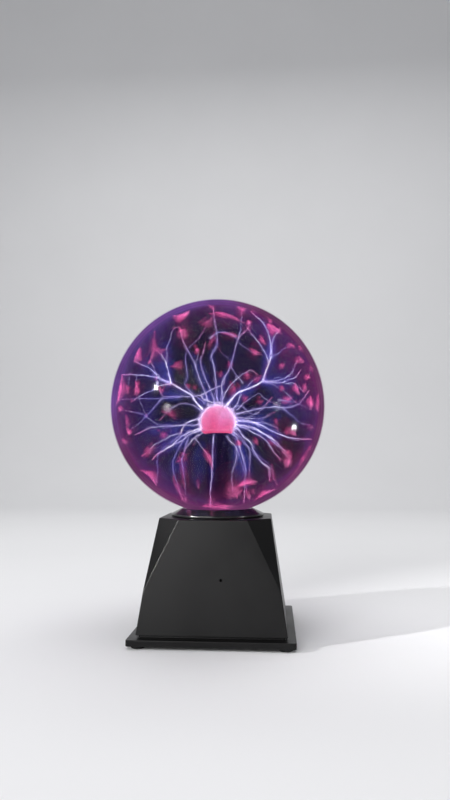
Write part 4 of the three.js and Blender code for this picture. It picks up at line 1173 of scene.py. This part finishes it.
def make_pedestal():
    """The pedestal: outlines go up the outside, over the rounded top edge, in across the deck, down through
    the neck hole, and back down the inside of the wall, and the last joins the first."""
    fillet, foot = SHELL_FILLET, 0.35
    bottom, top = SHELL_LOW[2], SHELL_HIGH[2]
    z = np.concatenate([[bottom, bottom + foot], np.linspace(bottom + 6, FACET_START_Z, 6),
                        np.linspace(FACET_START_Z + 5, top - fillet, 11)])
    inset = np.where(z <= bottom, foot, 0.0)
    outside = cut_square(shell_half(z), facet_leg(z), inset, z, fillet)
    a = np.radians(np.linspace(18, 90, 5))
    edge_z = top - fillet + fillet * np.sin(a)
    edge = cut_square(shell_half(edge_z), facet_leg(edge_z), fillet * (1 - np.cos(a)), edge_z, fillet)
    hole = ring_rows(NECK_HOLE + np.array([1.2, 0.2, 0.0, 0.0]), [top, top, top - 0.3, top - SHELL_WALL],
                     edge[-1])
    inner_z = np.array([top - SHELL_WALL, FACET_START_Z, bottom])
    inside = cut_square(shell_half(inner_z), facet_leg(inner_z), SHELL_WALL, inner_z, 0.4)
    rows = np.concatenate([outside, edge, hole, inside])
    faces = [grid_faces(len(rows), rows.shape[1], close_rows=True)]
    piece = make_piece("pedestal", rows.reshape(-1, 3), faces, SATIN_BLACK, smooth=False,
                       instead_of=("pedestal_shell",))
    half_x, half_y = SWITCH_HOLE_HALF
    pinhole = cutters(drill(PINHOLE_RADIUS, CUT_FROM, CUT_TO, 24), PINHOLE)
    inlet_hole = cutters(drill(INLET_HOLE_RADIUS, CUT_FROM, CUT_TO, 32), INLET)
    switch_hole = cutters(slab((-half_x, -half_y, CUT_FROM), (half_x, half_y, CUT_TO)), SWITCH)
    cut(piece, pinhole + inlet_hole + switch_hole)


def make_base_plate():
    """The base plate: outlines go out across the underside, round the edge, in across the flange, up the
    recessed step and its lip, and down to the floor of the tray. The middles of both faces are poles."""
    low, high = PLATE_LOW[2], PLATE_HIGH[2]
    half = PLATE_HIGH[0]
    edge = rounded([(half, low), (half, PLATE_TOP_Z), (STEP_HALF, PLATE_TOP_Z), (STEP_HALF, STEP_Z),
                    (LIP_HALF, STEP_Z), (LIP_HALF, high), (TRAY_HALF, high), (TRAY_HALF, TRAY_Z)], 0.7, 4)
    inset = np.concatenate([[half - 20, 3], half - edge[:, 0], [half - 20]])
    z = np.concatenate([[low, low], edge[:, 1], [TRAY_Z]])
    rows = cut_square(half, 0, inset, z, 2.0)
    points, faces = with_poles(rows, [[0, 0, low], [0, 0, TRAY_Z]])
    piece = make_piece("base", points, faces, SATIN_BLACK, smooth=False, instead_of=("base_plate",))
    slot = slab((-SLOT_HALF_X, -SLOT_HALF_Y, low - 1), (SLOT_HALF_X, SLOT_HALF_Y, TRAY_Z + 1))
    slots = cutters(slot, *[shift(SLOT_PITCH * i, 0) for i in range(-3, 4)])
    ends = (-WELL_PLACE, WELL_PLACE)
    wells = cutters(drill(WELL_RADIUS, low - 1, WELL_Z, 32), *[shift(x, y) for x in ends for y in ends])
    cut(piece, slots + wells)


def make_feet():
    """Four rubber feet: discs with rounded edges and a shallow dish in the sole."""
    for number in range(1, 5):
        node = f"rubber_foot_{number}"
        low, high = size_of(node)
        middle = (low + high) / 2
        radius = (high[0] - low[0]) / 2
        dish = [[0, 0.5], [radius * 0.45, 0.5], [radius * 0.62, 0.0]]
        edge = arc(radius - 0.7, 0.7, 0.7, -90, 0, 5)
        top = arc(radius - 0.3, high[2] - 0.3, 0.3, 0, 90, 3)
        points, faces = lathe(np.concatenate([dish, edge, top, [[0, high[2]]]]), 40)
        make_piece(f"foot_{number}", points + [middle[0], middle[1], 0], faces, RUBBER, instead_of=(node,))


def make_collar():
    """The collar: a low cone with a rolled rim below and a soft lip where it meets the glass."""
    low = SHELL_HIGH[2] + 0.3
    high = COLLAR_HIGH[2]
    corners = [(COLLAR_BORE, low), (COLLAR_RADIUS, low), (COLLAR_RADIUS, low + 2.2),
               (COLLAR_LIP + 1.2, high), (COLLAR_LIP, high), (COLLAR_BORE, high - 2.2)]
    points, faces = lathe(rounded(corners, 0.8, 5), 96, closed=True)
    make_piece("collar", points, faces, GLOSS_BLACK, instead_of=("top_collar",))


def make_switch():
    """The switch. Its frame is a stack of rounded outlines up the body, over the bezel and down into the
    well. The rocker is one outline, two slopes over a round keel, drawn across from side to side."""
    half_x = np.array([6.3, 6.3, 7.3, 7.5, 7.5, 7.35, 7.0, 5.3, 5.0, 4.9, 4.9])
    z = np.array([-14.0, 0.3, 0.3, 0.5, 1.5, 1.85, 2.0, 2.0, 1.9, 1.6, -4.4])
    half_y = half_x + np.where((z < 0.31) & (half_x < 7), 3.2, 3.0)
    points, faces = skin(round_rect(half_x, half_y, 0.9, z))
    make_piece("switch_frame", carried(points, SWITCH), faces, GLOSS_BLACK, smooth=False,
               instead_of=("switch_housing",))
    keel = arc(0, 1.6, 5, -14.4, -165.6, 13)
    top = [(-7, 0.8), (-7, 3.0), (-3.5, 2.3), (0, 2.0), (3.5, 2.3), (7, 3.0), (7, 0.8)]
    outline = np.concatenate([keel, rounded(top, 0.45, 4)[2:-2]])
    middle = np.array([0, 1.2])
    x = np.array([-4.5, -4.36, -4.1, 4.1, 4.36, 4.5])[:, None, None]
    shrink = np.array([0.94, 0.98, 1.0, 1.0, 0.98, 0.94])[:, None, None]
    outlines = middle + (outline - middle) * shrink
    points, faces = skin(np.concatenate([np.broadcast_to(x, (*outlines.shape[:2], 1)), outlines], -1))
    tilt = np.array(Matrix.Rotation(ROCKER_REST, 4, "X"))
    make_piece("rocker", carried(carried(points, tilt), SWITCH), faces, GLOSS_BLACK, body="rocker",
               smooth=False, instead_of=("switch_rocker",))


def make_inlet():
    """The power inlet: a round flange with a softened edge, and the socket bored into it."""
    profile = [(0, -13), (5, -13), (5, -6), (5.4, -6), (5.4, 0.3), (7.2, 0.3), (7.2, 1.5), (7.1, 1.9),
               (6.8, 2.13), (6.4, 2.2), (3.5, 2.2), (3.2, 2.1), (3.1, 1.8), (3.1, -9), (0, -9)]
    points, faces = lathe(profile, 48)
    make_piece("inlet", carried(points, INLET), faces, GLOSS_BLACK, smooth=False,
               instead_of=("inlet_socket",))


make_globe()
make_gas()
make_stem()
make_electrode()
make_streamers()
make_electrode_light()
gather("glass_pads", [part for pad in PADS for part in pad_parts(pad)], PAD_LIGHT)
gather("bundle_mist", [mist_part(mist) for mist in MISTS], MIST)
make_pedestal()
make_base_plate()
make_feet()
make_collar()
make_switch()
make_inlet()


# ---- Studio ------------------------------------------------------------------------------------------
# Each light's place, width and height in metres, and power in watts. They are aimed at LIGHTS_AIM.
LIGHTS = [
    ("front", (-0.95, -2.05, 0.95), (1.4, 1.4), 32),
    ("top", (0.0, 0.3, 2.4), (2.2, 2.2), 38),
]
LIGHTS_AIM = (0, 0, 0.15)
# Narrow beams that only glint in the glass: where each is mirrored in front view, how far off it stands in
# millimetres, width and height in metres, and power in watts.
GLINTS = [
    ("left_strip", (-60.2, 18.1), 1280, (0.020, 0.075), 0.45),
    ("left_window", (-50.3, -0.6), 800, (0.10, 0.115), 0.045),
    ("right_window", (57.9, -0.6), 800, (0.10, 0.115), 0.040),
    ("right_strip", (74.5, -20.8), 450, (0.008, 0.030), 0.050),
    ("right_far_strip", (89.2, -21.6), 450, (0.010, 0.030), 0.30),
]
GLINT_SPREAD = math.radians(20)


def add_light(name, place, target, size, power, spread):
    """A rectangular area light aimed at a target."""
    data = bpy.data.lights.new(name, "AREA")
    data.shape = "RECTANGLE"
    data.size, data.size_y = size
    data.energy = power
    data.spread = spread
    light = bpy.data.objects.new(name, data)
    light.location = place
    light.visible_camera = False
    light.rotation_euler = (Vector(target) - Vector(place)).to_track_quat("-Z", "Y").to_euler()
    bpy.context.scene.collection.objects.link(light)


def make_studio():
    """A pale floor that curves up into a wall, pale surroundings, two soft lights and five narrow ones. The
    floor is a (y, z) profile drawn across in x."""
    paint = Paint("studio_paper")
    tone = paint.blend(paint.noise(3, 2), (0.82, 0.82, 0.83), (0.86, 0.86, 0.87))
    paper = paint.surface(base_color=tone, roughness=0.9, specular_ior_level=0.2)
    bend = arc(1600, 800, 800, -90, 0, 20)
    profile = np.concatenate([[[-3000, 0]], bend, [[2400, 3500]]])
    x, y = np.broadcast_arrays(np.array([[-4000, 4000]]), profile[:, :1])
    points = np.stack([x, y, np.broadcast_to(profile[:, 1:], x.shape)], -1).reshape(-1, 3)
    floor = mesh_object("studio_floor", points, [grid_faces(len(profile), 2, close_columns=False)])
    finish_mesh(floor.data, paper, True)
    for name, place, size, power in LIGHTS:
        add_light(name, place, LIGHTS_AIM, size, power, math.pi)
    for name, drawn, distance, size, power in GLINTS:
        add_light(name, *mirrored(drawn, distance), size, power, GLINT_SPREAD)
    world = bpy.data.worlds.new("surroundings")
    world.use_nodes = True
    background = world.node_tree.nodes["Background"]
    background.inputs["Color"].default_value = (0.80, 0.81, 0.84, 1)
    background.inputs["Strength"].default_value = 0.33
    bpy.context.scene.world = world


make_studio()
scene = bpy.context.scene
scene.view_settings.view_transform = "Standard"
scene.cycles.transparent_max_bounces = 64
for material in (STREAMER, SHEATH, HALO, MIST, PAD_LIGHT, GAS, GLASS):
    material.cycles.emission_sampling = "NONE"
